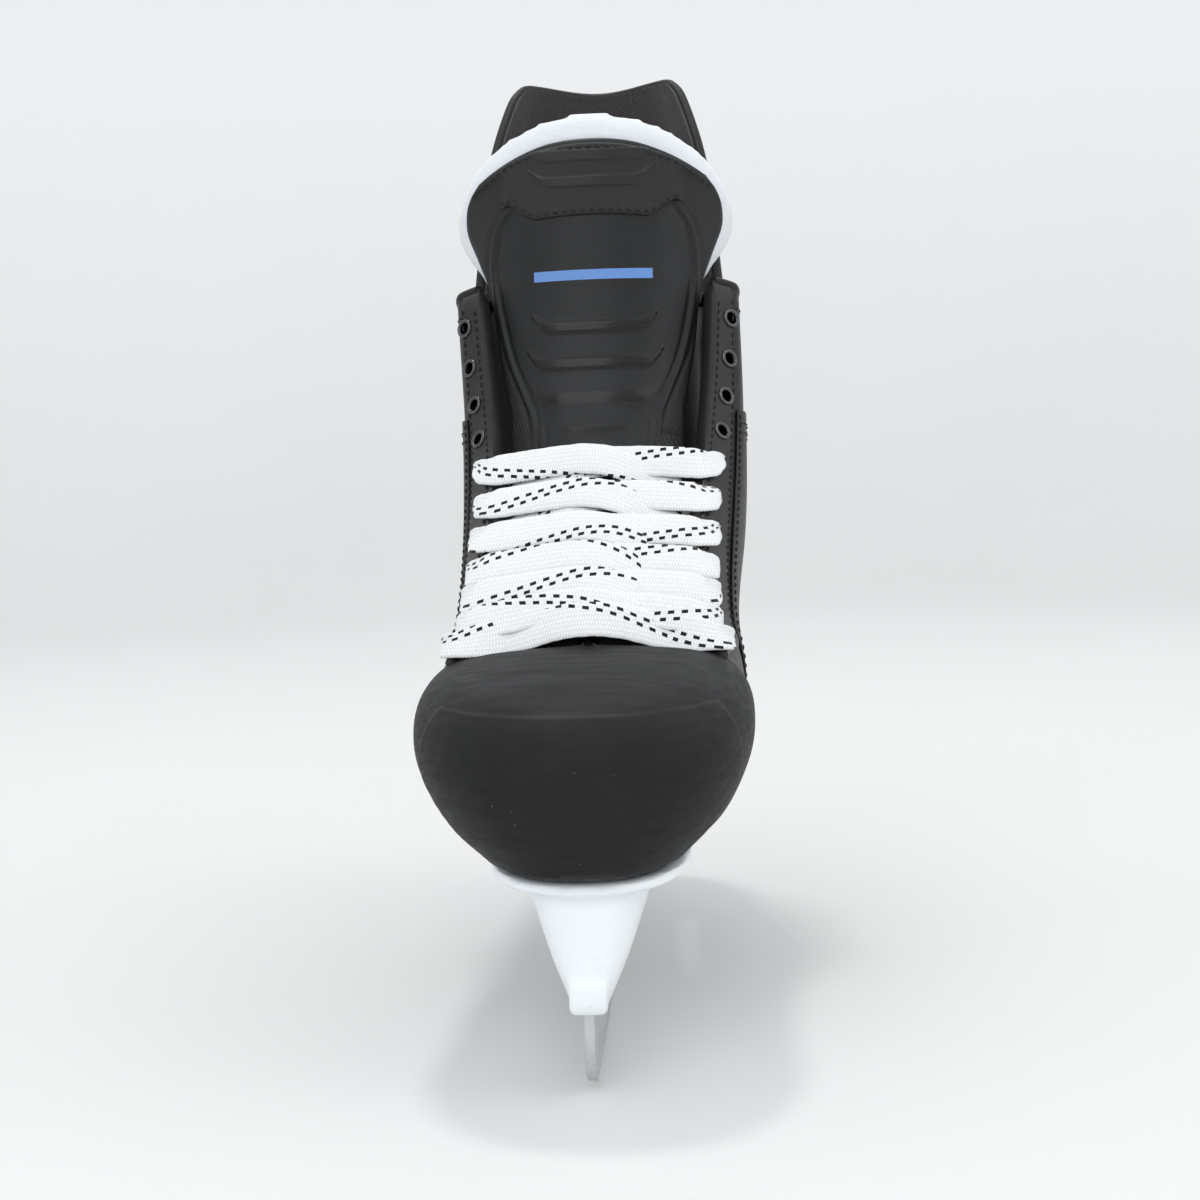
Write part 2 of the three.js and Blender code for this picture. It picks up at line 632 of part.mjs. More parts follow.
function guardGrid(depth) {
  const grid = [];
  for (let r = 0; r <= 6; r += 1) {
    const w = r / 6;
    const row = [];
    for (let i = -6; i <= 6; i += 1) {
      const c = i / 6;
      row.push(guardPoint(w, c).addScaledVector(guardNormal(w, c), depth));
    }
    grid.push(row);
  }
  return grid;
}
const guardThickness = 2.6;
add('tendon_guard', wall(guardGrid(0), guardGrid(guardThickness)), blackNylon);
add(
  'tendon_guard_lining',
  wall(guardGrid(guardThickness + gap), guardGrid(guardThickness + 3.2)),
  liningCloth,
);

// ---------------------------------------------------------------------------------------------------------
// Runner: 3 mm steel with a gentle rocker that is flat in the middle, a hook in front and a latch lug behind.
const runnerFlat = 18;
const rockerRadius = 3000;
const rocker = (y) => Math.max(Math.abs(y) - runnerFlat, 0) ** 2 / (2 * rockerRadius);
const runnerTop = 30.5;
const runnerFront = -143;
const runnerBack = 143;
const lugTop = 45.5;
const latch = { y: 91, z: 40.5 }; // the trigger's tooth meets the latch lug here, on a slope
const latchSlope = (53 * Math.PI) / 180;
const latchLine = (along, offset = 0) => [
  latch.y + along * Math.cos(latchSlope) + offset * Math.sin(latchSlope),
  latch.z - along * Math.sin(latchSlope) + offset * Math.cos(latchSlope),
];

const corner = (y, z, radius, from, to, steps) => Array.from({ length: steps + 1 }, (_, i) => {
  const angle = lerp(from, to, i / steps);
  return [y + radius * Math.cos(angle), z + radius * Math.sin(angle)];
});
const edge = [];
for (let y = -120; y <= 126; y += 13) if (Math.abs(y) > runnerFlat) edge.push([y, rocker(y)]);
edge.push([-runnerFlat, 0], [runnerFlat, 0]);
edge.sort((a, b) => a[0] - b[0]);
const runnerOutline = [
  ...corner(runnerFront + 11, 11 + rocker(-132), 11, Math.PI, Math.PI * 1.45, 5),
  ...edge.filter(([y]) => y > -125),
  ...corner(runnerBack - 16, 16 + rocker(127), 16, Math.PI * 1.62, Math.PI * 2, 4),
  [runnerBack, runnerTop],
  [112, runnerTop],
  [112, lugTop + 2],
  [99, lugTop + 2],
  latchLine(-4.2, 0.35),
  latchLine(5, 0.35),
  [88.5, 34.5],
  [88.5, runnerTop],
  [-88, runnerTop],
  [-88, lugTop],
  [-112, lugTop],
  [-112, 42],
  [-106, 42],
  [-106, 37],
  [-112, 37],
  [-112, runnerTop],
  [runnerFront, runnerTop],
];
const runner = sidePrism(runnerOutline, -runnerThickness / 2, runnerThickness / 2);
add('runner', runner, steel);

// ---------------------------------------------------------------------------------------------------------
// Trigger: hung on a pin in the rear tower. Its tooth holds the latch lug; pulling the tab up lets go.
const pivot = { y: 80, z: 55.5 };
const triggerHalf = 2.8;
const pinRadius = 1.6;
const toothTop = latchLine(-3, -0.35);
const toothTip = latchLine(3.2, -0.35);
const triggerOutline = [
  [76, 61], [84, 61], [86.5, 57.5], [86, 49.5], toothTop, toothTip, [toothTip[0] - 4.5, toothTip[1] + 0.4],
  [83, 41.5], [80, 48.5], [74, 48.5], [66, 43], [57, 39], [52, 39.5], [51, 42.5], [55, 44.5],
  [64, 49.5], [72, 56.5],
];
let trigger = sidePrism(triggerOutline, -triggerHalf, triggerHalf);
trigger = trigger.subtract(rod(pinRadius + 0.25, [-10, pivot.y, pivot.z], [10, pivot.y, pivot.z], 14));
add('trigger', trigger, whiteNylon);
add('trigger_pin', rod(pinRadius, [-9, pivot.y, pivot.z], [9, pivot.y, pivot.z], 12), nickel);

class SpringCurve extends THREE.Curve {
  getPoint(t, target = new THREE.Vector3()) {
    const turns = 2.5;
    const angle = -Math.PI / 2 + t * turns * Math.PI * 2;
    const coil = 3.5;
    return target.set(3.7 + t * 2.4, pivot.y + coil * Math.cos(angle), pivot.z + coil * Math.sin(angle));
  }
}
const wireOutline = new THREE.Shape();
wireOutline.absarc(0, 0, 0.4, 0, Math.PI * 2);
const springShape = new THREE.ExtrudeGeometry(wireOutline, {
  steps: 22, curveSegments: 3, bevelEnabled: false, extrudePath: new SpringCurve(),
});
add('trigger_spring', solid(springShape), steel);

// ---------------------------------------------------------------------------------------------------------
// Holder: a bar that grips the runner, two towers and the flanges riveted to the outsole.
const barHalf = 5.6;
const barOutline = [
  [-145.5, holderBottomZ + 3], [-144.5, holderBottomZ], [136, holderBottomZ], [140, holderBottomZ + 4],
  [139, 33.5], [134, 38.5], [60, 39.5], [52, 37], [-50, 37], [-58, 39.5], [-134, 39.5],
  [-142, 37.5], [-145.5, 33.5],
];
const barLower = sidePrism(barOutline, -barHalf, barHalf);
const towerLevels = (rows) => (
  loft(rows.map(([z, a, b, y, power]) => ({ z, outline: oval(a, b, 0, y, power, 16) })))
);
const frontTower = towerLevels([[25.6, 6.2, 36, -109, 3], [37.5, 11.8, 37, -107, 3],
  [48, 15.8, 39.5, -102.5, 3], [58, 19.4, 41, -98, 3]]);
const rearTower = towerLevels([[30.5, 6, 32, 103, 3], [41.5, 9.5, 33, 101, 3], [55.5, 13.5, 36, 100, 3],
  [67, 17.5, 39, 99, 3]]);
const flange = (a, b, y) => slopedPlate(oval(a, b, 0, y, 2.6, 20), flangeBottom, flangeTop);
let holder = barLower.add(frontTower).add(rearTower).add(flange(31.5, 50, -92)).add(flange(26, 42, 98));
// The tower tops blend into the sloping flanges.
const neck = (a, b, y, low) => loft([
  { z: low, outline: oval(a - 1.5, b - 1.5, 0, y, 2.8, 16) },
  {
    z: 0,
    outline: oval(a + 2, b + 2, 0, y, 2.8, 16).map(([x, yy]) => [x, yy, soleTop(yy) + flangeBottom + 1]),
  },
]);
holder = holder.add(neck(19.4, 41, -98, 53.5)).add(neck(17.5, 38, 99, 61.5));
const slotHalf = runnerThickness / 2 + gap;
const slotCut = (y0, y1, z1) => box(-slotHalf, slotHalf, y0, y1, holderBottomZ - 8, z1);
holder = holder.subtract(slotCut(runnerFront - 0.8, 170, runnerTop + 2.6));
const ledge = box(-slotHalf - 1, slotHalf + 1, -114.5, -106.9, 37.9, 41.1);
holder = holder.subtract(slotCut(-114, -86, lugTop + 1.4).subtract(ledge));
holder = holder.subtract(slotCut(84, 114.5, lugTop + 3.4));
const latchOutline = [[48, 34.5], [98, 34.5], [98, 49.5], [92, 64], [72, 64], [60, 55.5], [48, 47.5]];
const latchRoom = sidePrism(latchOutline, -7, 7);
holder = holder.subtract(latchRoom);
holder = holder.subtract(rod(pinRadius + 0.2, [-9.4, pivot.y, pivot.z], [9.4, pivot.y, pivot.z], 14));
holder = bore(holder, rivetRadius + gap);
for (const [x, y] of rivets) {
  // Each head sits on a flat spot.
  const foot = soleTop(y) + flangeBottom;
  holder = holder.subtract(rod(rivetHead + 1, [x, y, foot - 14], [x, y, foot - gap / 2], 12));
}
add('holder', holder, whiteNylon);

// ---------------------------------------------------------------------------------------------------------
// Lace: one flat strap. A bar joins the lowest pair of eyelets; each end then crosses the tongue from under
// one edge to over the other, and dives into the next eyelet from outside.
const laceDeep = shellThickness + gap + laceThickness / 2 + 0.8;
const laceHigh = rimBase + 0.8 + laceThickness / 2 + 2.3;
const neckWidth = 2.8;

// Through an eyelet, from over the facing to under the shell.
function throughEyelet({ point, normal, v }) {
  return [laceHigh, 0.5, -laceDeep].map((h) => (
    { p: point.clone().addScaledVector(normal, h), w: neckWidth, v }
  ));
}

// Over the tongue's crown at height v. The ends that start on the medial side lie over the others.
function overTongue(v, x, layer) {
  const { y, z, ny, nz } = frontFrame(v);
  const half = edgeWidth(v) - 6.6;
  const crossing = layer * (laceThickness + 0.35) * clamp(1.4 - Math.abs(x) / 20, 0, 1);
  const n = Math.max(tongueArch(x, half), -2.5) + 1 + laceThickness / 2 + crossing;
  return { p: new THREE.Vector3(x, y + ny * n, z + nz * n), w: laceWidth, v };
}

// One crossing: out from under one side's edge at eyelet `from`, over the tongue and into the next eyelet.
function crossing(side, from) {
  const other = -side;
  const start = eyeletPlace(side, from);
  const end = eyeletPlace(other, from + 1);
  const rise = lerp(start.v, end.v, 0.2);
  const under = bootSurface(side, rise, 1);
  const underN = bootNormal(side, rise, 0.97);
  const arrive = bootSurface(other, lerp(start.v, end.v, 0.93), 1);
  const arriveN = bootNormal(other, end.v, 0.97);
  const layer = side === MEDIAL ? 1 : 0;
  const fromX = under.x - side * 9;
  const over = [0, 0.25, 0.5, 0.75, 1].map((share) => (
    overTongue(lerp(rise, end.v, 0.12 + 0.76 * share), lerp(fromX, arrive.x + side * 5, share), layer)
  ));
  return [
    { p: under.clone().addScaledVector(underN, -laceDeep - 0.7), w: 5, v: rise },
    ...over,
    { p: arrive.clone().addScaledVector(arriveN, laceHigh), w: 8, v: end.v },
    ...throughEyelet(end),
  ];
}

// A flat strap through stations, its width lying along the boot's front.
function strap(stations) {
  const outer = [];
  const inner = [];
  stations.forEach(({ p, w, v }, i) => {
    const before = stations[Math.max(i - 1, 0)].p;
    const after = stations[Math.min(i + 1, stations.length - 1)].p;
    const along = after.clone().sub(before).normalize();
    const { ny, nz } = frontFrame(v);
    const across = new THREE.Vector3(0, nz, -ny);
    across.addScaledVector(along, -across.dot(along)).normalize();
    const out = across.clone().cross(along).multiplyScalar(laceThickness / 2);
    across.multiplyScalar(w / 2);
    outer.push([p.clone().add(out).sub(across), p.clone().add(out).add(across)]);
    inner.push([p.clone().sub(out).sub(across), p.clone().sub(out).add(across)]);
  });
  return wall(outer, inner);
}

// The end past the last eyelet is tucked into the boot, along the liner.
const tuckDepth = linerTo + gap + laceThickness / 2 + 8;
function tuckedEnd(side) {
  const { v } = eyeletPlace(side, lacedPairs - 1);
  const along = [1, 2, 3, 4, 5, 6].map((i) => (
    { p: bootPoint(side, v - i * 0.04, 0.82 - i * 0.08, tuckDepth), w: laceWidth, v }
  ));
  return [{ p: bootPoint(side, v - 0.01, 0.82, 11.5), w: 6, v }, ...along];
}

// Half the lace, from the middle of the bar across the lowest eyelets to one tucked end.
const barV = firstEyeletV + 0.042;
function laceHalf(side) {
  const lowest = eyeletPlace(side, 0);
  const edge = bootSurface(side, lowest.v, 1).addScaledVector(lowest.normal, laceHigh);
  const stations = [
    overTongue(barV, side * 9, 0.6),
    overTongue(barV, side * 18, 1),
    overTongue(barV, side * 27, 1),
    { p: edge, w: 7, v: lowest.v },
    ...throughEyelet(lowest),
  ];
  let from = side;
  for (let i = 0; i + 1 < lacedPairs; i += 1) {
    stations.push(...crossing(from, i));
    from = -from;
  }
  return [...stations, ...tuckedEnd(from)];
}
const laceRoute = [...laceHalf(LATERAL).reverse(), overTongue(barV, 0, 0.5), ...laceHalf(MEDIAL)];
add('lace', strap(laceRoute), laceWhite);

// Each end is bound by a stiff tip.
for (const [name, side] of SIDES) {
  const [before, end] = laceHalf(side).slice(-2).map((station) => station.p);
  const along = end.clone().sub(before).normalize();
  const tip = [gap, gap + 22].map((s) => ({ p: end.clone().addScaledVector(along, s), w: 4, v: 0.6 }));
  add(`lace_tip_${name}`, strap(tip), aglet);
}

export default skate;
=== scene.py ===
import bpy
import bmesh
from math import asin, cos, hypot, pi, radians, sin, tan
from functools import lru_cache
from mathutils import Matrix, Vector, noise


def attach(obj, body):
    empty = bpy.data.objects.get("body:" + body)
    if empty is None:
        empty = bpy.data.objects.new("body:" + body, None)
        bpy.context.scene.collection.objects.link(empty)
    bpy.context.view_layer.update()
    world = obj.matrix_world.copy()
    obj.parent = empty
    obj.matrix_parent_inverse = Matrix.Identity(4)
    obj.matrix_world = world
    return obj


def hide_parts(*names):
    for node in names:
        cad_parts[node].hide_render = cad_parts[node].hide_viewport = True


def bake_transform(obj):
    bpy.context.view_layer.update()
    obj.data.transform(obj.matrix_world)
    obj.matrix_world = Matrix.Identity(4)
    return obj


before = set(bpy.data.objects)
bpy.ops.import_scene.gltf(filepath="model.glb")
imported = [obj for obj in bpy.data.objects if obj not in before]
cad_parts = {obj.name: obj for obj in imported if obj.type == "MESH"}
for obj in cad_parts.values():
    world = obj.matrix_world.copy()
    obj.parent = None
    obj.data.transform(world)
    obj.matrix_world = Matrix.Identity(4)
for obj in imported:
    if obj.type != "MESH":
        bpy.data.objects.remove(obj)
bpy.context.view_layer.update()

# ---- Camera, floor and lights ---------------------------------------------------------------------------
# The skate stands on its runner on a plain pale floor, seen from in front of the toe at tongue height.
# One small lamp overhead gives the soft shadow under the boot; large panels and the sky fill the rest.
camera = bpy.data.objects.new("camera", bpy.data.cameras.new("camera"))
camera.data.lens = 54.18
camera.data.sensor_width = 36.0
looking = Vector((sin(radians(-3)), cos(radians(-3)), -tan(radians(4.53)))).normalized()
camera.matrix_world = (
    Matrix.Translation((0.0344, -0.657, 0.187))
    @ looking.to_track_quat("-Z", "Y").to_matrix().to_4x4()
    @ Matrix.Rotation(radians(-2), 4, "Z")
)
bpy.context.scene.collection.objects.link(camera)
bpy.context.scene.camera = camera


def put(tree, kind, inputs=None, **options):
    made = tree.nodes.new("ShaderNode" + kind)
    for option, value in options.items():
        setattr(made, option, value)
    for name, value in (inputs or {}).items():
        socket = made.inputs[name]
        if isinstance(value, bpy.types.NodeSocket):
            tree.links.new(value, socket)
        else:
            socket.default_value = value
    return made


def blank_finish(name, roughness, metallic=0.0):
    finish = bpy.data.materials.new(name)
    finish.use_nodes = True
    shader = finish.node_tree.nodes["Principled BSDF"]
    shader.inputs["Roughness"].default_value = roughness
    shader.inputs["Metallic"].default_value = metallic
    return finish, finish.node_tree, shader


def where(tree):
    return put(tree, "TexCoord").outputs["Object"]


def cloudy(tree, place, scale, detail=3.0, roughness=0.6):
    inputs = {"Vector": place, "Scale": scale, "Detail": detail, "Roughness": roughness}
    return put(tree, "TexNoise", inputs).outputs["Fac"]


def between(tree, factor, low, high, out_low, out_high):
    inputs = {"Value": factor, "From Min": low, "From Max": high, "To Min": out_low, "To Max": out_high}
    return put(tree, "MapRange", inputs).outputs["Result"]


def tint(tree, factor, *stops):
    made = put(tree, "ValToRGB", {"Fac": factor})
    ramp = made.color_ramp
    while len(ramp.elements) < len(stops):
        ramp.elements.new(0.5)
    for element, (position, colour) in zip(ramp.elements, stops):
        element.position = position
        element.color = (*colour, 1.0)
    return made.outputs["Color"]


def maths(tree, operation, a, b=0.0, c=0.0):
    return put(tree, "Math", {0: a, 1: b, 2: c}, operation=operation).outputs[0]


def relief(tree, shader, height, distance, strength=1.0):
    inputs = {"Height": height, "Distance": distance, "Strength": strength}
    tree.links.new(put(tree, "Bump", inputs).outputs["Normal"], shader.inputs["Normal"])


def studio_floor():
    finish, tree, shader = blank_finish("studio_floor", 0.55)
    drift = cloudy(tree, where(tree), 1.1)
    near = tint(tree, drift, (0.3, (0.715, 0.715, 0.71)), (0.7, (0.745, 0.745, 0.74)))
    # The wall is painted paler than the floor, so the two look alike under one light.
    height = put(tree, "SeparateXYZ", {"Vector": where(tree)}).outputs["Z"]
    painted = {"Factor": between(tree, height, 0.02, 0.9, 0.0, 1.0), "A": near, "B": (0.90, 0.90, 0.90, 1.0)}
    tree.links.new(put(tree, "Mix", painted, data_type="RGBA").outputs["Result"], shader.inputs["Base Color"])
    shader.inputs["Specular IOR Level"].default_value = 0.25
    return finish


def sweep_floor():
    """A level floor that curves up into a low wall all round."""
    profile = [(1.6 + 1.3 * sin(i / 16 * pi / 2), 1.3 - 1.3 * cos(i / 16 * pi / 2)) for i in range(17)] + [(2.9, 1.9)]
    turns = 72
    points = [(0.0, 0.0, -0.0001)]
    points += [(r * cos(k / turns * 2 * pi), r * sin(k / turns * 2 * pi), z - 0.0001) for r, z in profile for k in range(turns)]
    faces = [(0, 1 + k, 1 + (k + 1) % turns) for k in range(turns)]
    for row in range(len(profile) - 1):
        low = 1 + row * turns
        faces += [(low + k, low + turns + k, low + turns + (k + 1) % turns, low + (k + 1) % turns) for k in range(turns)]
    mesh = bpy.data.meshes.new("floor")
    mesh.from_pydata(points, [], faces)
    mesh.shade_smooth()
    mesh.materials.append(studio_floor())
    floor = bpy.data.objects.new("floor", mesh)
    bpy.context.scene.collection.objects.link(floor)


sweep_floor()


def lamp(name, place, aim, size, watts, colour=(1.0, 1.0, 1.0)):
    light = bpy.data.lights.new(name, "AREA")
    light.size = size
    light.energy = watts
    light.color = colour
    made = bpy.data.objects.new(name, light)
    made.location = place
    made.rotation_euler = (Vector(aim) - Vector(place)).to_track_quat("-Z", "Y").to_euler()
    bpy.context.scene.collection.objects.link(made)


lamp("overhead_lamp", (-0.11, 0.30, 1.60), (0, 0, 0.1), 0.17, 5.6)
lamp("front_panel", (-0.5, -1.7, 1.6), (0, 0, 0.2), 1.8, 12.0, (0.97, 0.98, 1.0))
lamp("side_panel", (1.5, -0.3, 1.2), (0, 0, 0.15), 1.4, 5.0)
sky = bpy.data.worlds.new("soft_room")
sky.use_nodes = True
sky.node_tree.nodes["Background"].inputs["Color"].default_value = (0.93, 0.95, 0.97, 1.0)
sky.node_tree.nodes["Background"].inputs["Strength"].default_value = 1.03
bpy.context.scene.world = sky
bpy.context.scene.view_settings.view_transform = "Standard"

# ---- Runner ---------------------------------------------------------------------------------------------
# A 3 mm stainless blade, stamped, ground to a rocker along its length and hollowed across its edge.
# It hooks on a pin-like ledge in the front tower and is held by a lug behind; its sides keep a brushed grain.


def link_piece(name, mesh, body, slot, *nodes):
    made = bpy.data.objects.new(name, mesh)
    bpy.context.scene.collection.objects.link(made)
    if body:
        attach(made, body)
    if nodes:
        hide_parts(*nodes)
    return made


def mesh_of(name, points, faces, finish, crease=40):
    mesh = bpy.data.meshes.new(name)
    mesh.from_pydata([(x / 1000, y / 1000, z / 1000) for x, y, z in points], [], faces)
    work = bmesh.new()
    work.from_mesh(mesh)
    bmesh.ops.recalc_face_normals(work, faces=work.faces)
    work.to_mesh(mesh)
    work.free()
    mesh.shade_smooth()
    mesh.set_sharp_from_angle(angle=radians(crease))
    mesh.materials.append(finish)
    return mesh


def settle(made):
    """Applies a piece's modifiers to its mesh."""
    view = bpy.context.evaluated_depsgraph_get()
    mesh = bpy.data.meshes.new_from_object(made.evaluated_get(view))
    made.modifiers.clear()
    made.data = mesh


def soften(made, width, steps=3, angle=50):
    """Rounds the sharp edges of a piece, by a width in mm."""
    bevel = made.modifiers.new("soft_edges", "BEVEL")
    bevel.width = width / 1000
    bevel.segments = steps
    bevel.limit_method = "ANGLE"
    bevel.angle_limit = radians(angle)
    bevel.miter_outer = "MITER_ARC"
    settle(made)


def blend_in(a, b, t):
    return a + (b - a) * t


def held(x, low, high):
    return min(high, max(low, x))


def side_slices(outline, layers):
    """Faces and points of a slab: an outline in the YZ plane repeated at each (x, inset) layer."""
    count = len(outline)
    centre = [sum(p[i] for p in outline) / count for i in (0, 1)]
    points = []
    for x, inset in layers:
        for i, (y, z) in enumerate(outline):
            (y0, z0), (y1, z1) = outline[i - 1], outline[(i + 1) % count]
            size = hypot(y1 - y0, z1 - z0) or 1.0
            points.append((x, y - inset * (z1 - z0) / size, z + inset * (y1 - y0) / size))
    faces = [tuple(range(count)), tuple(range(len(points) - count, len(points)))]
    for layer in range(len(layers) - 1):
        for i in range(count):
            j = (i + 1) % count
            faces.append((layer * count + i, layer * count + j, (layer + 1) * count + j, (layer + 1) * count + i))
    return points, faces


runner_flat = 18
rocker_radius = 3000
latch_slope = radians(53)


def rocker(y):
    return max(abs(y) - runner_flat, 0) ** 2 / (2 * rocker_radius)


def latch_line(along, offset):
    return (
        91 + along * cos(latch_slope) + offset * sin(latch_slope),
        40.5 - along * sin(latch_slope) + offset * cos(latch_slope),
    )


def arc(y, z, radius, start, end, steps):
    angles = [blend_in(start, end, i / steps) for i in range(steps + 1)]
    return [(y + radius * cos(angle), z + radius * sin(angle)) for angle in angles]


def runner_outline():
    outline = arc(-132, 11 + rocker(-132), 11, pi, pi * 1.47, 14)
    outline += [(y, rocker(y)) for y in range(-128, 125, 4)]
    outline += arc(127, 16 + rocker(127), 16, pi * 1.52, pi * 2, 14)
    outline += [(143, 30.5), (112, 30.5), (112, 47.5), (99, 47.5), latch_line(-4.2, 0.35), latch_line(5, 0.35)]
    outline += [(88.5, 34.5), (88.5, 30.5), (-88, 30.5), (-88, 45.5), (-112, 45.5), (-112, 42), (-106, 42)]
    return outline + [(-106, 37), (-112, 37), (-112, 30.5), (-143, 30.5)]


def ground_steel():
    finish, tree, shader = blank_finish("ground_steel", 0.3, 1.0)
    place = where(tree)
    along = put(tree, "Mapping", {"Vector": place, "Scale": (60.0, 14.0, 1600.0)}).outputs["Vector"]
    grain = cloudy(tree, along, 1.0, 4.0)
    height = put(tree, "SeparateXYZ", {"Vector": place}).outputs["Z"]
    polished = between(tree, height, 0.0045, 0.0060, 1.0, 0.0)
    across = put(tree, "Mapping", {"Vector": place, "Scale": (60.0, 2400.0, 60.0)}).outputs["Vector"]
    honed = cloudy(tree, across, 1.0, 3.0)
    marks = put(tree, "Mix", {"Factor": polished, "A": grain, "B": honed}).outputs["Result"]
    smear = cloudy(tree, place, 45.0)
    colour = tint(tree, smear, (0.3, (0.50, 0.51, 0.52)), (0.7, (0.66, 0.67, 0.68)))
    tree.links.new(colour, shader.inputs["Base Color"])
    tree.links.new(between(tree, marks, 0.3, 0.7, 0.22, 0.42), shader.inputs["Roughness"])
    relief(tree, shader, marks, 0.00004, 0.5)
    return finish


def make_runner():
    outline = runner_outline()
    layers = [(-1.5, 0.28), (-1.38, 0.08), (-1.2, 0.0), (-0.6, 0.0), (0, 0.0), (0.6, 0.0), (1.2, 0.0), (1.38, 0.08), (1.5, 0.28)]
    points, faces = side_slices(outline, layers)
    # The edge's hollow leaves two thin biting edges.
    hollow = {-0.6: 0.10, 0: 0.16, 0.6: 0.10}
    points = [(x, y, z + hollow.get(x, 0) * (z < 4)) for x, y, z in points]
    link_piece("runner_steel", mesh_of("runner_steel", points, faces, ground_steel(), 30), "runner", "runner_steel", "runner")


make_runner()

# ---- Holder ---------------------------------------------------------------------------------------------
# The white glass-filled nylon holder: one moulding with a bar that grips the runner, two hollow towers and
# two flanges. It is glossy and cool white, a little scuffed low down, and takes ten rivets through its flanges.


def curve_of(*stops):
    """A smooth curve through a few (position, value) stops."""
    def slope(a, b):
        return (stops[b][1] - stops[a][1]) / (stops[b][0] - stops[a][0])

    last = len(stops) - 1

    def value(t):
        if t <= stops[0][0]:
            return stops[0][1]
        if t >= stops[last][0]:
            return stops[last][1]
        i = 0
        while t > stops[i + 1][0]:
            i += 1
        step = stops[i + 1][0] - stops[i][0]
        m0, m1 = slope(max(i - 1, 0), i + 1), slope(i, min(i + 2, last))
        x = (t - stops[i][0]) / step
        return (
            stops[i][1] * (2 * x**3 - 3 * x**2 + 1)
            + stops[i + 1][1] * (3 * x**2 - 2 * x**3)
            + m0 * step * (x**3 - 2 * x**2 + x)
            + m1 * step * (x**3 - x**2)
        )

    return value


def sole_top(y):
    return 67.5 + 13 * (y + 155) / 300


def oval(a, b, y, power, count=64):
    """A level outline, boxier for a higher power."""
    outline = []
    for i in range(count):
        c, s = cos(i / count * 2 * pi), sin(i / count * 2 * pi)
        outline.append((
            a * (1 if c > 0 else -1) * abs(c) ** (2 / power),
            y + b * (1 if s > 0 else -1) * abs(s) ** (2 / power),
        ))
    return outline


def stacked(rings):
    """A closed body through rings of equal point counts."""
    count = len(rings[0])
    points = [p for ring in rings for p in ring]
    faces = [tuple(range(count)), tuple(range(len(points) - count, len(points)))]
    for r in range(len(rings) - 1):
        for i in range(count):
            j = (i + 1) % count
            faces.append((r * count + i, r * count + j, (r + 1) * count + j, (r + 1) * count + i))
    return points, faces


def together(*bodies):
    points, faces = [], []
    for some, sides in bodies:
        faces += [tuple(i + len(points) for i in side) for side in sides]
        points += some
    return points, faces


def rod(x, y, z0, z1, radius, count=24, grow=1.0):
    ring = [(radius * cos(i / count * 2 * pi), radius * sin(i / count * 2 * pi)) for i in range(count)]
    return stacked([[(x + a, y + b, z0) for a, b in ring], [(x + a * grow, y + b * grow, z1) for a, b in ring]])


def cross_rod(y, z, x0, x1, radius, count=32):
    return side_slices([(y + radius * cos(i / count * 2 * pi), z + radius * sin(i / count * 2 * pi)) for i in range(count)],
                       [(x0, 0), (x1, 0)])


def block(x0, x1, y0, y1, z0, z1):
    return side_slices([(y0, z0), (y1, z0), (y1, z1), (y0, z1)], [(x0, 0), (x1, 0)])


def cut(made, *bodies):
    """Cuts closed bodies out of a piece."""
    points, faces = together(*bodies)
    tool = bpy.data.objects.new("tool", mesh_of("tool", points, faces, made.data.materials[0]))
    bpy.context.scene.collection.objects.link(tool)
    boolean = made.modifiers.new("cut", "BOOLEAN")
    boolean.operation = "DIFFERENCE"
    boolean.solver = "EXACT"
    boolean.use_self = False
    boolean.object = tool
    settle(made)
    bpy.data.objects.remove(tool)


sole_gap = 0.35
outsole_thickness = 4.0
flange_top = -outsole_thickness - 2 * sole_gap
flange_bottom = flange_top - 4
rivet_places = [(-21, -120), (21, -120), (-25, -92), (25, -92), (-19, -58), (19, -58), (-17, 74), (17, 74), (-17, 122), (17, 122)]


def holder_white():
    finish, tree, shader = blank_finish("holder_white_nylon", 0.3)
    place = where(tree)
    shade = cloudy(tree, place, 22.0)
    colour = tint(tree, shade, (0.3, (0.84, 0.885, 0.92)), (0.7, (0.89, 0.93, 0.955)))
    height = put(tree, "SeparateXYZ", {"Vector": place}).outputs["Z"]
    streaked = put(tree, "Mapping", {"Vector": place, "Scale": (900.0, 60.0, 1500.0)}).outputs["Vector"]
    scuff = maths(tree, "MULTIPLY", between(tree, cloudy(tree, streaked, 1.0, 5.0), 0.62, 0.75, 0.0, 1.0),
                  between(tree, height, 0.030, 0.055, 1.0, 0.15))
    worn = put(tree, "Mix", {"Factor": scuff, "A": colour, "B": (0.55, 0.57, 0.58, 1.0)}, data_type="RGBA")
    tree.links.new(worn.outputs["Result"], shader.inputs["Base Color"])
    fine = cloudy(tree, place, 1700.0, 2.0)
    tree.links.new(between(tree, fine, 0.3, 0.7, 0.26, 0.38), shader.inputs["Roughness"])
    shader.inputs["Subsurface Weight"].default_value = 0.12
    shader.inputs["Subsurface Radius"].default_value = (0.002, 0.002, 0.0025)
    shader.inputs["Subsurface Scale"].default_value = 1.0
    relief(tree, shader, maths(tree, "ADD", maths(tree, "MULTIPLY", fine, 0.3), scuff), 0.00003, 0.6)
    return finish


def tower(levels, steps=14):
    sizes = [curve_of(*[(level[0], level[k]) for level in levels]) for k in range(1, 5)]
    heights = [blend_in(levels[0][0], levels[-1][0], i / steps) for i in range(steps + 1)]
    return stacked([[(x, y, z) for x, y in oval(*[size(z) for size in sizes])] for z in heights])


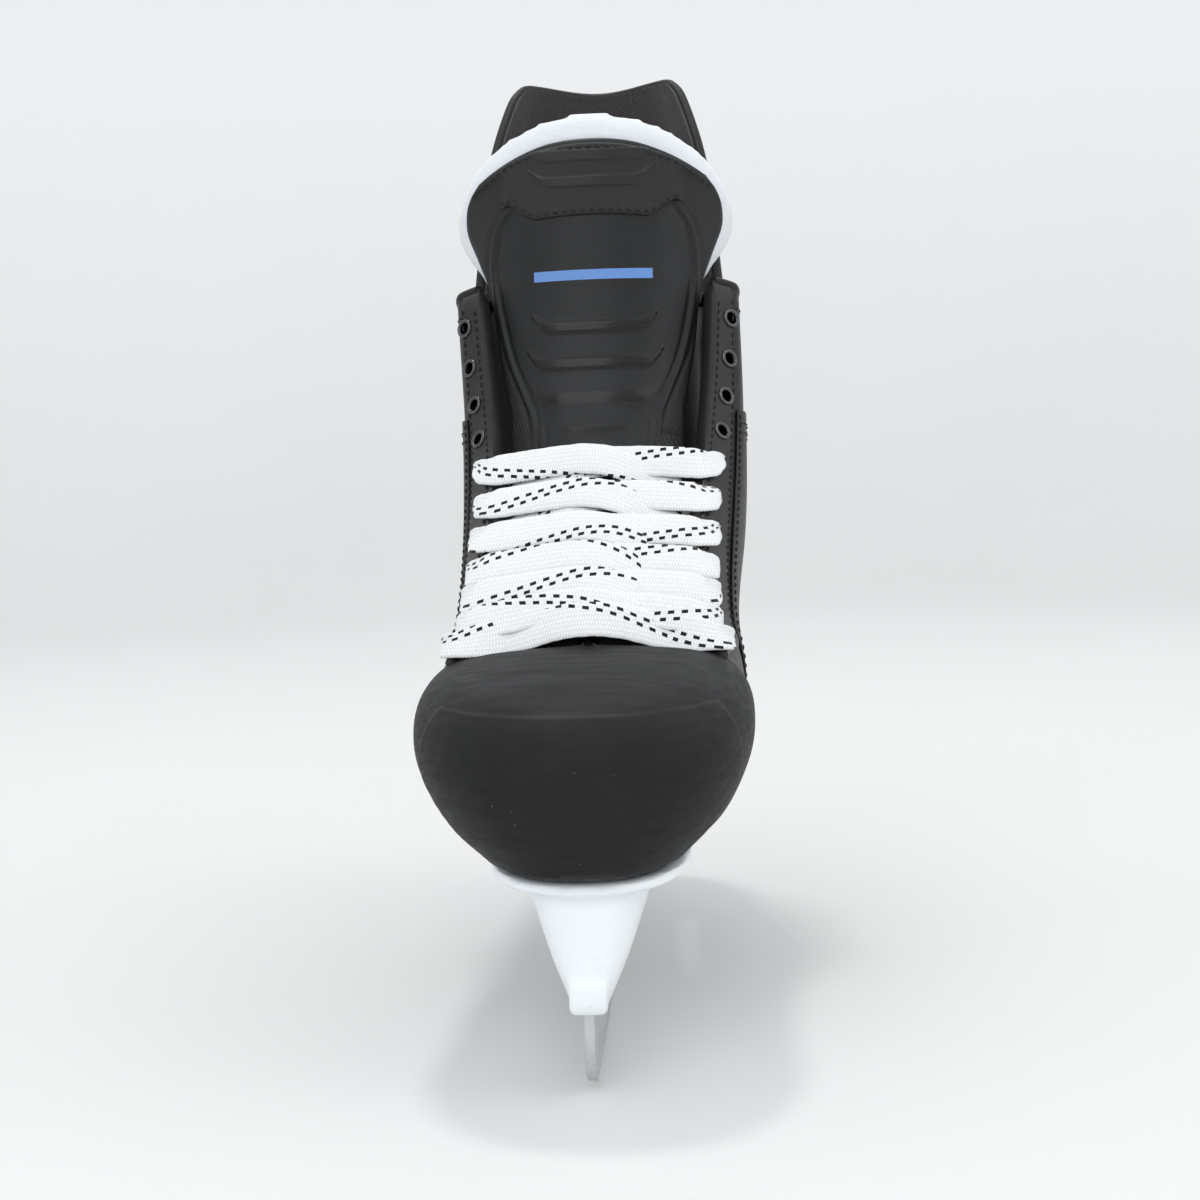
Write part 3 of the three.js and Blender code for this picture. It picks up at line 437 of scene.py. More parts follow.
def flange(a, b, y):
    rings = []
    for rise, inset in ((flange_bottom, 1.2), (flange_bottom + 0.5, 0.3), (flange_bottom + 1.2, 0), (flange_top, 0)):
        rings.append([(x, yy, sole_top(yy) + rise) for x, yy in oval(a - inset, b - inset, y, 2.6, 96)])
    return stacked(rings)


def neck(a, b, y, low, reach):
    """The tower's flare into its flange."""
    rings = []
    for i in range(9):
        t = i / 8
        out = -1.5 + reach * t**3
        ring = oval(a + out, b + out, y, 2.8)
        rings.append([(x, yy, blend_in(low, sole_top(yy) + flange_bottom + 1, t)) for x, yy in ring])
    return stacked(rings)


def make_holder():
    bar = [(-145.5, 28), (-144.5, 25), (136, 25), (140, 29), (139, 33.5), (134, 38.5), (60, 39.5), (52, 37), (-50, 37),
           (-58, 39.5), (-134, 39.5), (-142, 37.5), (-145.5, 33.5)]
    front = [(25.6, 6.2, 36, -109, 3), (37.5, 11.8, 37, -107, 3), (48, 15.8, 39.5, -102.5, 3), (58, 19.4, 41, -98, 3)]
    rear = [(30.5, 6, 32, 103, 3), (41.5, 9.5, 33, 101, 3), (55.5, 13.5, 36, 100, 3), (67, 17.5, 39, 99, 3)]
    points, faces = together(
        side_slices(bar, [(-5.6, 0.8), (-4.8, 0), (4.8, 0), (5.6, 0.8)]), tower(front), tower(rear),
        flange(31.5, 50, -92), flange(26, 42, 98), neck(19.4, 41, -98, 53.5, 5.5), neck(17.5, 38, 99, 61.5, 4.5),
    )
    holder = link_piece("holder_body", mesh_of("holder_body", points, faces, holder_white()), "boot", "holder_nylon", "holder")
    remesh = holder.modifiers.new("one_moulding", "REMESH")
    remesh.mode = "VOXEL"
    remesh.voxel_size = 0.0011
    fair = holder.modifiers.new("fair", "SMOOTH")
    fair.factor = 0.5
    fair.iterations = 7
    settle(holder)
    slot = 1.85
    cuts = [block(-slot, slot, -143.8, 170, 17, 33.1), block(-slot, slot, -114, -86, 30, 37.9),
            block(-slot, slot, -106.9, -86, 30, 46.9), block(-slot, slot, -114, -86, 41.1, 46.9),
            block(-slot, slot, 84, 114.5, 30, 48.9),
            side_slices([(48, 34.5), (98, 34.5), (98, 49.5), (92, 64), (72, 64), (60, 55.5), (48, 47.5)], [(-7, 0), (7, 0)])]
    for one in cuts:
        cut(holder, one)
    bores = []
    for x, y in rivet_places:
        foot = sole_top(y) + flange_bottom
        bores += [stacked([[(x + a, y + b, z) for a, b in oval(r, r, 0, 2, 24)]
                           for z, r in ((foot - 14, 5), (foot - 0.17, 5), (foot - 0.17, 2.25), (foot + 20, 2.25))])]
    cut(holder, *bores)
    cut(holder, cross_rod(80, 55.5, -9.4, 9.4, 1.8))
    holder.data.shade_smooth()
    holder.data.set_sharp_from_angle(angle=radians(35))


make_holder()

# ---- Trigger, its pin and its spring --------------------------------------------------------------------
# The release in the rear tower: a black nylon lever on a steel pin. A wound spring holds its tooth against
# the runner's rear lug, and pulling the tab lets the runner swing down.


def black_nylon(name, light=0.012, rough=0.42):
    finish, tree, shader = blank_finish(name, rough)
    place = where(tree)
    shade = cloudy(tree, place, 60.0)
    dark, pale = (light * 0.8,) * 3, (light * 1.25,) * 3
    edge = between(tree, put(tree, "NewGeometry").outputs["Pointiness"], 0.53, 0.60, 0.0, 0.6)
    colour = put(tree, "Mix", {"Factor": edge, "A": tint(tree, shade, (0.3, dark), (0.7, pale)),
                               "B": (light * 3,) * 3 + (1.0,)}, data_type="RGBA")
    tree.links.new(colour.outputs["Result"], shader.inputs["Base Color"])
    fine = cloudy(tree, place, 2200.0, 2.0)
    tree.links.new(between(tree, fine, 0.3, 0.7, rough - 0.08, rough + 0.1), shader.inputs["Roughness"])
    relief(tree, shader, fine, 0.00005, 0.5)
    return finish


def plated(name, colour, rough):
    """A plated metal, brighter where it is rubbed."""
    finish, tree, shader = blank_finish(name, rough, 1.0)
    place = where(tree)
    rubbed = between(tree, put(tree, "NewGeometry").outputs["Pointiness"], 0.51, 0.58, 0.0, 1.0)
    tarnish = cloudy(tree, place, 700.0, 4.0)
    dull = tuple(0.75 * c for c in colour)
    bright = tuple(min(1.0, 1.6 * c) for c in colour)
    mixed = put(tree, "Mix", {"Factor": rubbed, "A": tint(tree, tarnish, (0.35, dull), (0.65, colour)),
                              "B": (*bright, 1.0)}, data_type="RGBA")
    tree.links.new(mixed.outputs["Result"], shader.inputs["Base Color"])
    tree.links.new(between(tree, tarnish, 0.3, 0.7, rough - 0.1, rough + 0.12), shader.inputs["Roughness"])
    relief(tree, shader, tarnish, 0.00003, 0.4)
    return finish


def turned(profile, count=40):
    """A closed body turned from (radius, height) points; a radius of 0 closes an end."""
    rings = [[(r * cos(i / count * 2 * pi), r * sin(i / count * 2 * pi), h) for i in range(count)] for r, h in profile]
    return stacked(rings)


def tube(path, radius, count=10):
    """A round wire along points."""
    rings = []
    for i, p in enumerate(path):
        ahead = (Vector(path[min(i + 1, len(path) - 1)]) - Vector(path[max(i - 1, 0)])).normalized()
        side = ahead.orthogonal().normalized() if i == 0 else (side - ahead * side.dot(ahead)).normalized()
        up = ahead.cross(side)
        r = radius(i) if callable(radius) else radius
        rings.append([tuple(Vector(p) + side * r * cos(k / count * 2 * pi) + up * r * sin(k / count * 2 * pi)) for k in range(count)])
    return stacked(rings)


def make_trigger():
    nylon = black_nylon("trigger_nylon")
    top, tip = latch_line(-3, -0.35), latch_line(3.2, -0.35)
    outline = [(76, 61), (84, 61), (86.5, 57.5), (86, 49.5), top, tip, (tip[0] - 4.5, tip[1] + 0.4), (83, 41.5), (80, 48.5),
               (74, 48.5), (66, 43), (57, 39), (52, 39.5), (51, 42.5), (55, 44.5), (64, 49.5), (72, 56.5)]
    points, faces = side_slices(outline, [(-2.8, 0), (2.8, 0)])
    lever = link_piece("trigger_lever", mesh_of("trigger_lever", points, faces, nylon), "trigger", "trigger_nylon", "trigger")
    cut(lever, cross_rod(80, 55.5, -10, 10, 1.85))
    soften(lever, 0.45)
    steel = plated("pin_steel", (0.45, 0.45, 0.46), 0.3)
    ends = [(1.0, -9), (1.6, -8.5), (1.6, 8.5), (1.0, 9)]
    points, faces = turned(ends, 32)
    pin = mesh_of("trigger_pivot", [(z, 80 + x, 55.5 + y) for x, y, z in points], faces, steel)
    link_piece("trigger_pivot", pin, "boot", "runner_steel", "trigger_pin")
    coil = []
    for i in range(121):
        t = i / 120
        angle = -pi / 2 + t * 2.5 * 2 * pi
        coil.append((3.7 + 2.4 * t, 80 + 3.5 * cos(angle), 55.5 + 3.5 * sin(angle)))
    points, faces = tube(coil, 0.4)
    link_piece("return_spring", mesh_of("return_spring", points, faces, steel), "boot", "runner_steel", "trigger_spring")


make_trigger()

# ---- Outsole, rivets, insole board and footbed ----------------------------------------------------------
# A black woven-composite outsole carries the holder on ten semi-tubular steel rivets, clenched under a
# fibre insole board. A moulded foam footbed with a cloth face lies on the board and lifts out.

heel_share = 0.38
front_y = curve_of((0, -91), (0.12, -90), (0.2, -87), (0.27, -80), (0.32, -73), (0.4, -59), (0.5, -40), (0.6, -18), (0.7, 4),
                   (0.78, 18), (0.88, 31), (1, 43))
front_z = curve_of((0, 68.7), (0.12, 89.5), (0.2, 106.5), (0.27, 120.5), (0.32, 127), (0.4, 137.5), (0.5, 150.5), (0.6, 165),
                   (0.7, 181.5), (0.78, 196.5), (0.88, 220.5), (1, 253.5))
back_y = curve_of((0, 143), (0.1, 147), (0.25, 148), (0.4, 145), (0.55, 139), (0.75, 129), (0.9, 126), (1, 127))
back_z = curve_of((0, 78.5), (0.12, 95.5), (0.25, 117.5), (0.5, 159.5), (0.75, 211.5), (1, 259.5))
heel_radius = curve_of((0, 32), (0.25, 38), (0.5, 44), (0.75, 50), (1, 56))
heel_width = curve_of((0, 27), (0.06, 33.5), (0.12, 36.5), (0.22, 39.5), (0.35, 41.5), (0.5, 43), (0.75, 44.5), (1, 46))
waist_width = curve_of((0, 24.5), (0.06, 30.5), (0.12, 34), (0.22, 40), (0.35, 44), (0.5, 47.5), (0.75, 50), (1, 53))
ball_width = curve_of((0, 29), (0.06, 40), (0.12, 46), (0.22, 49.5), (0.35, 48), (0.5, 48), (0.75, 50.5), (1, 54))
edge_width = curve_of((0, 33.5), (0.06, 44.5), (0.12, 50), (0.19, 52.3), (0.24, 49.5), (0.27, 45.5), (0.32, 39), (0.4, 36.5),
                      (0.6, 36), (0.7, 37), (0.78, 38.5), (0.88, 41.5), (1, 45))
lateral_swell = curve_of((-155, 1.04), (-90, 1.035), (-30, 1.02), (40, 1))
medial_swell = curve_of((-155, 0.985), (-90, 0.985), (-30, 1.02), (40, 1.09), (100, 1.04), (140, 1))
medial_rise = curve_of((0, 0), (0.25, 0.2), (0.5, 1), (0.8, 0.7), (1, 0.1))


def swell(side, v, y):
    if side < 0:
        return lateral_swell(y)
    more = medial_swell(y)
    return 1 + (more - 1) * boot_section(v)[7] if more > 1 else more


@lru_cache(maxsize=4096)
def boot_section(v):
    across = curve_of((0, heel_width(v)), (0.35, waist_width(v)), (0.72, ball_width(v)), (1, edge_width(v)))
    return back_y(v), heel_radius(v), heel_width(v), front_y(v), across, back_z(v), front_z(v), medial_rise(v)


def boot_surface(side, v, u):
    """The boot's outside: v rises from the sole to the collar, u runs from the heel to the front edge."""
    back, radius, heel, front, across, low, high, _ = boot_section(v)
    if u < heel_share:
        angle = u / heel_share * pi / 2
        x, y = heel * sin(angle) ** 0.94, back - radius + radius * cos(angle)
    else:
        q = (u - heel_share) / (1 - heel_share)
        x = across(q)
        y = blend_in(back - radius, front, q)
    along = (back - y) / (back - front)
    dip = 11 * held((v - 0.7) / 0.3, 0, 1) ** 2 * sin(pi * held(along, 0, 1))
    return Vector((side * x * swell(side, v, y), y, blend_in(low, high, along) - dip))


def boot_normal(side, v, u):
    u0, u1 = max(u - 0.004, 0.0001), min(u + 0.004, 1)
    v0, v1 = max(v - 0.004, 0), min(v + 0.004, 1)
    along = boot_surface(side, v, u1) - boot_surface(side, v, u0)
    up = boot_surface(side, v1, u) - boot_surface(side, v0, u)
    return along.cross(up).normalized() * -side


def boot_point(side, v, u, depth):
    if u < 1e-6:
        p, n = boot_surface(1, v, 0), boot_normal(1, v, 0.002)
        return Vector((0, p.y - n.y * depth, p.z - n.z * depth))
    return boot_surface(side, v, u) - boot_normal(side, v, u) * depth


@lru_cache(maxsize=4096)
def toe_back(z):
    v = 0
    while v < 0.27 and front_z(v) < z:
        v += 0.002
    return front_y(v) - sole_gap


toe_half = curve_of((0, 34.5), (0.12, 44), (0.28, 51.6), (0.42, 54), (0.58, 52.4), (0.7, 46.4), (0.78, 38), (0.88, 22), (1, 1.2))
toe_nose_y = curve_of((0, -146), (0.15, -151.5), (0.38, -155), (0.55, -153.5), (0.68, -148), (0.76, -139), (0.88, -113), (1, -80))
toe_nose_z = curve_of((0, 66), (0.15, 78.5), (0.38, 93.5), (0.55, 105.5), (0.68, 114.5), (0.76, 119), (0.88, 124), (1, 127))
toe_back_z = curve_of((0, 68.7), (0.12, 76.5), (0.28, 91.5), (0.42, 102.5), (0.58, 113.5), (0.7, 121), (0.78, 124.5),
                      (0.88, 126.5), (1, 127.7))


def toe_surface(t, c, back):
    """The toe cap's outside: t rises from the sole to the crown, c runs round the nose from side to side."""
    angle = abs(c) * pi / 2
    y = blend_in(back, toe_nose_y(t), max(cos(angle), 0) ** 0.92)
    z = blend_in(toe_back_z(t), toe_nose_z(t), cos(angle))
    side = -1 if c < 0 else 1
    return Vector((side * toe_half(t) * sin(angle) ** 0.86 * swell(side, 0, y), y, z))


def sole_outline(margin):
    outline = []
    back = toe_back(toe_back_z(0))
    for i in range(41):
        p = toe_surface(0, blend_in(-0.95, 0.95, i / 40), back)
        inward = Vector((-p.x, -(p.y + 90))).normalized() * margin
        outline.append((p.x + inward.x, p.y + inward.y))
    steps = 44
    for side, shares in ((1, range(steps, 0, -1)), (-1, range(0, steps + 1))):
        for i in shares:
            u = i / steps
            p, n = boot_surface(side, 0, u), boot_normal(side, 0.01, max(u, 0.01))
            level = Vector((n.x, n.y)).normalized() * margin
            outline.append((p.x - level.x, p.y - level.y) if i else (0, p.y - margin))
    # Even the corner where the toe's curve meets the side's.
    for _ in range(3):
        count = len(outline)
        outline = [tuple((outline[i - 1][k] + 2 * outline[i][k] + outline[(i + 1) % count][k]) / 4 for k in (0, 1))
                   for i in range(count)]
    return outline


def drawn_in(outline, inset):
    if not inset:
        return outline
    count = len(outline)
    moved = []
    for i, (x, y) in enumerate(outline):
        (x0, y0), (x1, y1) = outline[i - 1], outline[(i + 1) % count]
        size = hypot(x1 - x0, y1 - y0)
        moved.append((x - inset * (y1 - y0) / size, y + inset * (x1 - x0) / size))
    return moved


def plate(outline, stops):
    """A plate that follows the sole's slope, through (rise, inset) stops."""
    return stacked([[(x, y, sole_top(y) + rise) for x, y in drawn_in(outline, inset)] for rise, inset in stops])


def woven_composite():
    finish, tree, shader = blank_finish("woven_composite", 0.32)
    place = put(tree, "Mapping", {"Vector": where(tree), "Scale": (420.0, 420.0, 420.0)}).outputs["Vector"]
    parts = put(tree, "SeparateXYZ", {"Vector": place})
    x, y = parts.outputs["X"], parts.outputs["Y"]
    # A 2 x 2 twill: each tow passes over two and under two, one step further on in each row.
    step = maths(tree, "ADD", maths(tree, "FLOOR", x), maths(tree, "FLOOR", y))
    over = maths(tree, "LESS_THAN", maths(tree, "FLOORED_MODULO", step, 4.0), 1.5)
    rib_x = maths(tree, "ABSOLUTE", maths(tree, "SINE", maths(tree, "MULTIPLY", x, pi)))
    rib_y = maths(tree, "ABSOLUTE", maths(tree, "SINE", maths(tree, "MULTIPLY", y, pi)))
    weave = put(tree, "Mix", {"Factor": over, "A": rib_x, "B": rib_y}).outputs["Result"]
    tone = maths(tree, "MULTIPLY", maths(tree, "ADD", maths(tree, "MULTIPLY", over, 0.5), 0.3), weave)
    colour = tint(tree, tone, (0.0, (0.006, 0.006, 0.007)), (0.9, (0.035, 0.036, 0.038)))
    tree.links.new(colour, shader.inputs["Base Color"])
    tree.links.new(between(tree, cloudy(tree, where(tree), 120.0), 0.3, 0.7, 0.25, 0.42), shader.inputs["Roughness"])
    relief(tree, shader, weave, 0.0001, 0.35)
    return finish


def fibre_board():
    finish, tree, shader = blank_finish("fibre_board", 0.9)
    fibres = cloudy(tree, where(tree), 900.0, 6.0, 0.8)
    tree.links.new(tint(tree, fibres, (0.3, (0.045, 0.040, 0.034)), (0.7, (0.11, 0.10, 0.085))), shader.inputs["Base Color"])
    tree.links.new(between(tree, fibres, 0.3, 0.7, 0.82, 0.95), shader.inputs["Roughness"])
    relief(tree, shader, fibres, 0.0002, 0.7)
    return finish


def soft_cloth(name, dark, pale, scale=1500.0, sheen=0.25):
    """A brushed knit: small loops, a little fluff and a soft sheen."""
    finish, tree, shader = blank_finish(name, 0.92)
    place = where(tree)
    loops = put(tree, "TexVoronoi", {"Vector": place, "Scale": scale}).outputs["Distance"]
    fluff = cloudy(tree, place, scale * 0.5, 5.0, 0.75)
    patch = cloudy(tree, place, 30.0)
    mixed = maths(tree, "ADD", maths(tree, "MULTIPLY", loops, 0.45), maths(tree, "MULTIPLY", fluff, 0.55))
    tone = maths(tree, "ADD", maths(tree, "MULTIPLY", mixed, 0.7), maths(tree, "MULTIPLY", patch, 0.3))
    tree.links.new(tint(tree, tone, (0.25, dark), (0.75, pale)), shader.inputs["Base Color"])
    tree.links.new(between(tree, fluff, 0.2, 0.8, 0.85, 0.98), shader.inputs["Roughness"])
    shader.inputs["Sheen Weight"].default_value = sheen
    shader.inputs["Sheen Roughness"].default_value = 0.45
    shader.inputs["Specular IOR Level"].default_value = 0.2
    relief(tree, shader, mixed, 0.0004, 0.7)
    return finish


def make_sole():
    points, faces = plate(sole_outline(4.4), [(-4.35, 0.7), (-4.15, 0.2), (-3.7, 0), (-1.0, 0), (-0.55, 0.2), (-0.35, 0.7)])
    sole = link_piece("composite_outsole", mesh_of("composite_outsole", points, faces, woven_composite()), "boot",
                      "sole_composite", "outsole")
    cut(sole, *[rod(x, y, sole_top(y) - 20, sole_top(y) + 12, 2.25) for x, y in rivet_places])
    points, faces = plate(sole_outline(5.4), [(0.5, 0.3), (0.8, 0), (2.2, 0), (2.5, 0.3)])
    board = link_piece("fibre_insole_board", mesh_of("fibre_insole_board", points, faces, fibre_board()), "boot",
                       "board_fibre", "insole_board")
    cut(board, *[rod(x, y, sole_top(y) - 20, sole_top(y) + 12, 4.35) for x, y in rivet_places])
    zinc = plated("zinc_plate", (0.55, 0.56, 0.57), 0.32)
    profile = [(0, -1.6), (1.4, -1.58), (2.6, -1.35), (3.5, -0.8), (3.95, -0.25), (4, 0), (1.9, 0), (1.9, 9.45), (3.6, 9.45),
               (3.8, 9.8), (3.3, 10.2), (2.2, 10.0), (1.2, 9.4), (0, 9.2)]
    for i, (x, y) in enumerate(rivet_places):
        foot = sole_top(y) + flange_bottom - sole_gap
        points, faces = turned(profile, 32)
        name = f"rivet_{i + 1:02d}"
        mesh = mesh_of(name, [(x + a, y + b, foot + c) for a, b, c in points], faces, zinc)
        link_piece(name, mesh, "boot", "rivet_metal", f"holder_rivet_{i + 1:02d}")


def make_footbed():
    """The foam swells at its rim into a shallow cup, deepest round the heel."""
    outline = sole_outline(6)
    rings = [[(x, y, sole_top(y) + 2.85) for x, y in drawn_in(outline, 1.2)], [(x, y, sole_top(y) + 3.3) for x, y in drawn_in(outline, 0.3)]]
    for rise, inset, cup in ((5.6, 0.1, 0.4), (6.6, 0.9, 0.8), (6.9, 2.2, 0.9), (6.8, 4, 0.7), (6.5, 7, 0.3), (6.3, 11, 0.1),
                             (6.25, 16, 0), (6.3, 20, 0)):
        rings.append([(x, y, sole_top(y) + rise - (0.0 if cup > 0.5 else 0.7) * held((y - 20) / 80, 0, 1))
                      for x, y in drawn_in(outline, inset)])
    points, faces = stacked(rings)
    cloth = soft_cloth("footbed_cloth", (0.020, 0.024, 0.030), (0.055, 0.062, 0.072), 1100.0)
    bed = link_piece("moulded_footbed", mesh_of("moulded_footbed", points, faces, cloth, 60), "boot", "footbed_foam", "footbed")


make_sole()
make_footbed()

# ---- Quarter shell --------------------------------------------------------------------------------------
# The boot's body: a thin thermoformed shell with a black coated-leather face, moulded round the heel in one
# piece from edge to edge of the lacing. Raised side panels are stitched on behind the eyelets.

eyelet_inset = 7.5
eyelet_share = curve_of((0, 0.295), (3, 0.48), (6, 0.7), (10, 0.945))
sides = (("lateral", -1), ("medial", 1))


def eyelet_place(side, i):
    v = eyelet_share(i)
    edge = boot_surface(side, v, 1)
    u = 1
    while (edge - boot_surface(side, v, u)).length < eyelet_inset:
        u -= 0.001
    return v, boot_surface(side, v, u), boot_normal(side, v, 0.96)


eyelet_places = {(name, i): eyelet_place(side, i) for name, side in sides for i in range(11)}


def eyelet_bores(radius, out, into, name=None):
    bores = []
    for (owner, _), (_, point, normal) in eyelet_places.items():
        if name in (None, owner):
            bores.append(tube([tuple(point + normal * out), tuple(point - normal * into)], radius, 24))
    return bores


def walled(outer, inner, ring=False):
    """A closed wall between two grids of points; a ring's last column meets its first."""
    rows, columns = len(outer), len(outer[0])
    points = [tuple(p) for grid in (outer, inner) for row in grid for p in row]
    def at(layer, r, c):
        return layer * rows * columns + r * columns + c % columns
    faces = []
    for r in range(rows - 1):
        for c in range(columns - (0 if ring else 1)):
            faces.append((at(0, r, c), at(0, r, c + 1), at(0, r + 1, c + 1), at(0, r + 1, c)))
            faces.append((at(1, r, c), at(1, r + 1, c), at(1, r + 1, c + 1), at(1, r, c + 1)))
    for c in range(columns - (0 if ring else 1)):
        faces.append((at(0, 0, c), at(1, 0, c), at(1, 0, c + 1), at(0, 0, c + 1)))
        faces.append((at(0, rows - 1, c), at(0, rows - 1, c + 1), at(1, rows - 1, c + 1), at(1, rows - 1, c)))
    if not ring:
        for r in range(rows - 1):
            faces.append((at(0, r, 0), at(0, r + 1, 0), at(1, r + 1, 0), at(1, r, 0)))
            faces.append((at(0, r, columns - 1), at(1, r, columns - 1), at(1, r + 1, columns - 1), at(0, r + 1, columns - 1)))
    return points, faces


def boot_grid(depth, v_from, v_to, rows, columns, u_front=1):
    grid = []
    for r in range(rows + 1):
        v = blend_in(v_from, v_to, r / rows)
        grid.append([boot_point(-1 if c < 0 else 1, v, abs(c) / columns * u_front, depth) for c in range(-columns, columns + 1)])
    return grid


def coated_leather(name, light=0.008, rough=0.40, grain=1.0):
    """Black polyurethane-faced leather: fine pebbles, faint creases, edges rubbed paler."""
    finish, tree, shader = blank_finish(name, rough)
    place = where(tree)
    pebble = put(tree, "TexVoronoi", {"Vector": place, "Scale": 1300.0, "Randomness": 1.0}).outputs["Distance"]
    crease = cloudy(tree, place, 160.0, 5.0, 0.65)
    shade = cloudy(tree, place, 25.0)
    base = tint(tree, shade, (0.3, (light * 0.85, light * 0.87, light * 0.9)), (0.7, (light * 1.2, light * 1.2, light * 1.22)))
    edge = between(tree, put(tree, "NewGeometry").outputs["Pointiness"], 0.53, 0.62, 0.0, 0.35)
    colour = put(tree, "Mix", {"Factor": edge, "A": base, "B": (light * 4,) * 3 + (1.0,)}, data_type="RGBA")
    tree.links.new(colour.outputs["Result"], shader.inputs["Base Color"])
    both = maths(tree, "ADD", maths(tree, "MULTIPLY", pebble, 0.6), maths(tree, "MULTIPLY", crease, 0.6))
    tree.links.new(between(tree, both, 0.2, 0.8, rough - 0.06, rough + 0.10), shader.inputs["Roughness"])
    shader.inputs["Specular IOR Level"].default_value = 0.3
    relief(tree, shader, both, 0.00016 * grain, 0.45)
    return finish


leather = coated_leather("quarter_leather")
thread = soft_cloth("black_thread", (0.010, 0.010, 0.010), (0.030, 0.030, 0.031), 4000.0, 0.1)


def stitches(path, length=2.6, space=0.8, radius=0.36):
    """A row of short thread ends along (point, normal) pairs."""
    bodies = []
    walked, wanted = 0.0, 0.0
    ends = []
    for (a, na), (b, nb) in zip(path, path[1:]):
        step = (b - a).length
        while step > 0 and walked + step >= wanted:
            t = (wanted - walked) / step
            ends.append((a.lerp(b, t), na.lerp(nb, t).normalized()))
            wanted += (length if len(ends) % 2 else space)
        walked += step
    for i in range(0, len(ends) - 1, 2):
        (a, na), (b, nb) = ends[i], ends[i + 1]
        rise = [(-0.3, 0.5), (0.12, 0.8), (0.3, 1.0), (0.3, 1.0), (0.12, 0.8), (-0.3, 0.5)]
        line = [tuple(a.lerp(b, k / 5) + na * (h * radius / 0.36)) for k, (h, _) in enumerate(rise)]
        bodies.append(tube(line, lambda k: radius * rise[k][1], 6))
    return together(*bodies)


def on_boot(side, stops, rise, steps=120):
    """Points and normals along a line over the boot, through (v, u) stops."""
    line = []
    for i in range(steps + 1):
        t = i / steps * (len(stops) - 1)
        k = min(int(t), len(stops) - 2)
        v = blend_in(stops[k][0], stops[k + 1][0], t - k)
        u = blend_in(stops[k][1], stops[k + 1][1], t - k)
        n = boot_normal(side, v, u)
        line.append((boot_surface(side, v, u) + n * rise, n))
    return line


panel_foot = curve_of((0, 0.10), (0.5, 0.08), (1, 0.16))
panel_head = curve_of((0, 0.50), (0.25, 0.53), (0.6, 0.66), (0.85, 0.78), (1, 0.80))


def make_quarter():
    points, faces = walled(boot_grid(0, 0, 1, 92, 84), boot_grid(3, 0, 1, 92, 84))
    shell = link_piece("quarter", mesh_of("quarter", points, faces, leather), "boot", "quarter_shell", "quarter_shell")
    soften(shell, 0.9, 3, 60)
    cut(shell, *eyelet_bores(3.45, 6, 8))
    for name, side in sides:
        rises = []
        for rise in (1.05, 0.08):
            grid = []
            for r in range(61):
                row = []
                for c in range(61):
                    p = c / 60
                    u = blend_in(0.10, 0.868, p)
                    v = blend_in(panel_foot(p), panel_head(p), r / 60)
                    row.append(boot_point(side, v, u - 0.05 * (1 - p) * (r / 60), -rise))
                grid.append(row)
            rises.append(grid)
        points, faces = walled(*rises)
        panel = link_piece(f"side_panel_{name}", mesh_of("side_panel", points, faces, leather), "boot", "quarter_shell")
        soften(panel, 0.45, 3, 60)
        seam = []
        for inset in (0.025, 0.045):
            line = [(panel_head(k / 20) - inset, blend_in(0.10, 0.868, k / 20) - 0.05 * (1 - k / 20) - inset * 0.25) for k in range(21)]
            seam.append(stitches(on_boot(side, line, 1.05, 200), 2.4, 0.9, 0.3))
        line = [(blend_in(0.79, 0.17, k / 20), 0.868 - 0.014) for k in range(21)]
        seam.append(stitches(on_boot(side, line, 1.05, 200), 2.4, 0.9, 0.3))
        points, faces = together(*seam)
        link_piece(f"side_panel_seam_{name}", mesh_of("side_panel_seam", points, faces, thread), "boot", "quarter_shell")
    # The collar's bound edge and the stitch row under it.
    rings = []
    for k in range(-96, 97):
        side, u = (-1 if k < 0 else 1), abs(k) / 96 * 0.985
        middle, out = boot_point(side, 1, u, 1.5), boot_normal(side, 0.99, max(u, 0.002))
        up = Vector((0, 0, 1))
        ring = []
        for j in range(20):
            c, s = cos(j / 20 * 2 * pi), sin(j / 20 * 2 * pi)
            wide = (1 if c > 0 else -1) * abs(c) ** 0.7 * 2.0
            ring.append(tuple(middle + out * wide + up * (-0.9 + 2.3 * s)))
        rings.append(ring)
    points, faces = stacked(rings)
    link_piece("collar_binding", mesh_of("collar_binding", points, faces, leather), "boot", "quarter_shell")
    rows = []
    for name, side in sides:
        rows.append(stitches(on_boot(side, [(0.965, 0.02), (0.965, 0.45), (0.965, 0.88)], 0.05, 200), 2.6, 0.8, 0.3))
    points, faces = together(*rows)
    link_piece("collar_seam", mesh_of("collar_seam", points, faces, thread), "boot", "quarter_shell")


make_quarter()

# ---- Facing strips --------------------------------------------------------------------------------------
# A padded strip of coated leather runs up each side of the lacing. It is folded round the shell's front edge,
# glued, and sewn down with a row of stitches on both sides of the eyelets.


def strip_layer(side, v, rise, ahead, deep, steps=26):
    """A path over the strip at height v: from its back edge forward, round the shell's edge and a little way in."""
    path = []
    for i in range(steps):
        u = blend_in(0.893, 1.0, i / steps)
        fade = held(i / 3, 0, 1) ** 0.5
        path.append(boot_surface(side, v, u) + boot_normal(side, v, min(u, 0.985)) * blend_in(0.35, rise, fade if rise > 0.5 else 1))
    edge, normal = boot_surface(side, v, 1), boot_normal(side, v, 0.985)
    forward = (edge - boot_surface(side, v, 0.97)).normalized()
    middle, half = (rise - deep) / 2, (rise + deep) / 2
    for i in range(15):
        angle = pi / 2 - pi * i / 14
        path.append(edge + forward * ahead * max(cos(angle), 0) ** 0.6 + normal * (middle + half * sin(angle)))
    for i in range(1, 4):
        path.append(edge - forward * i * 1.2 - normal * deep)
    return path


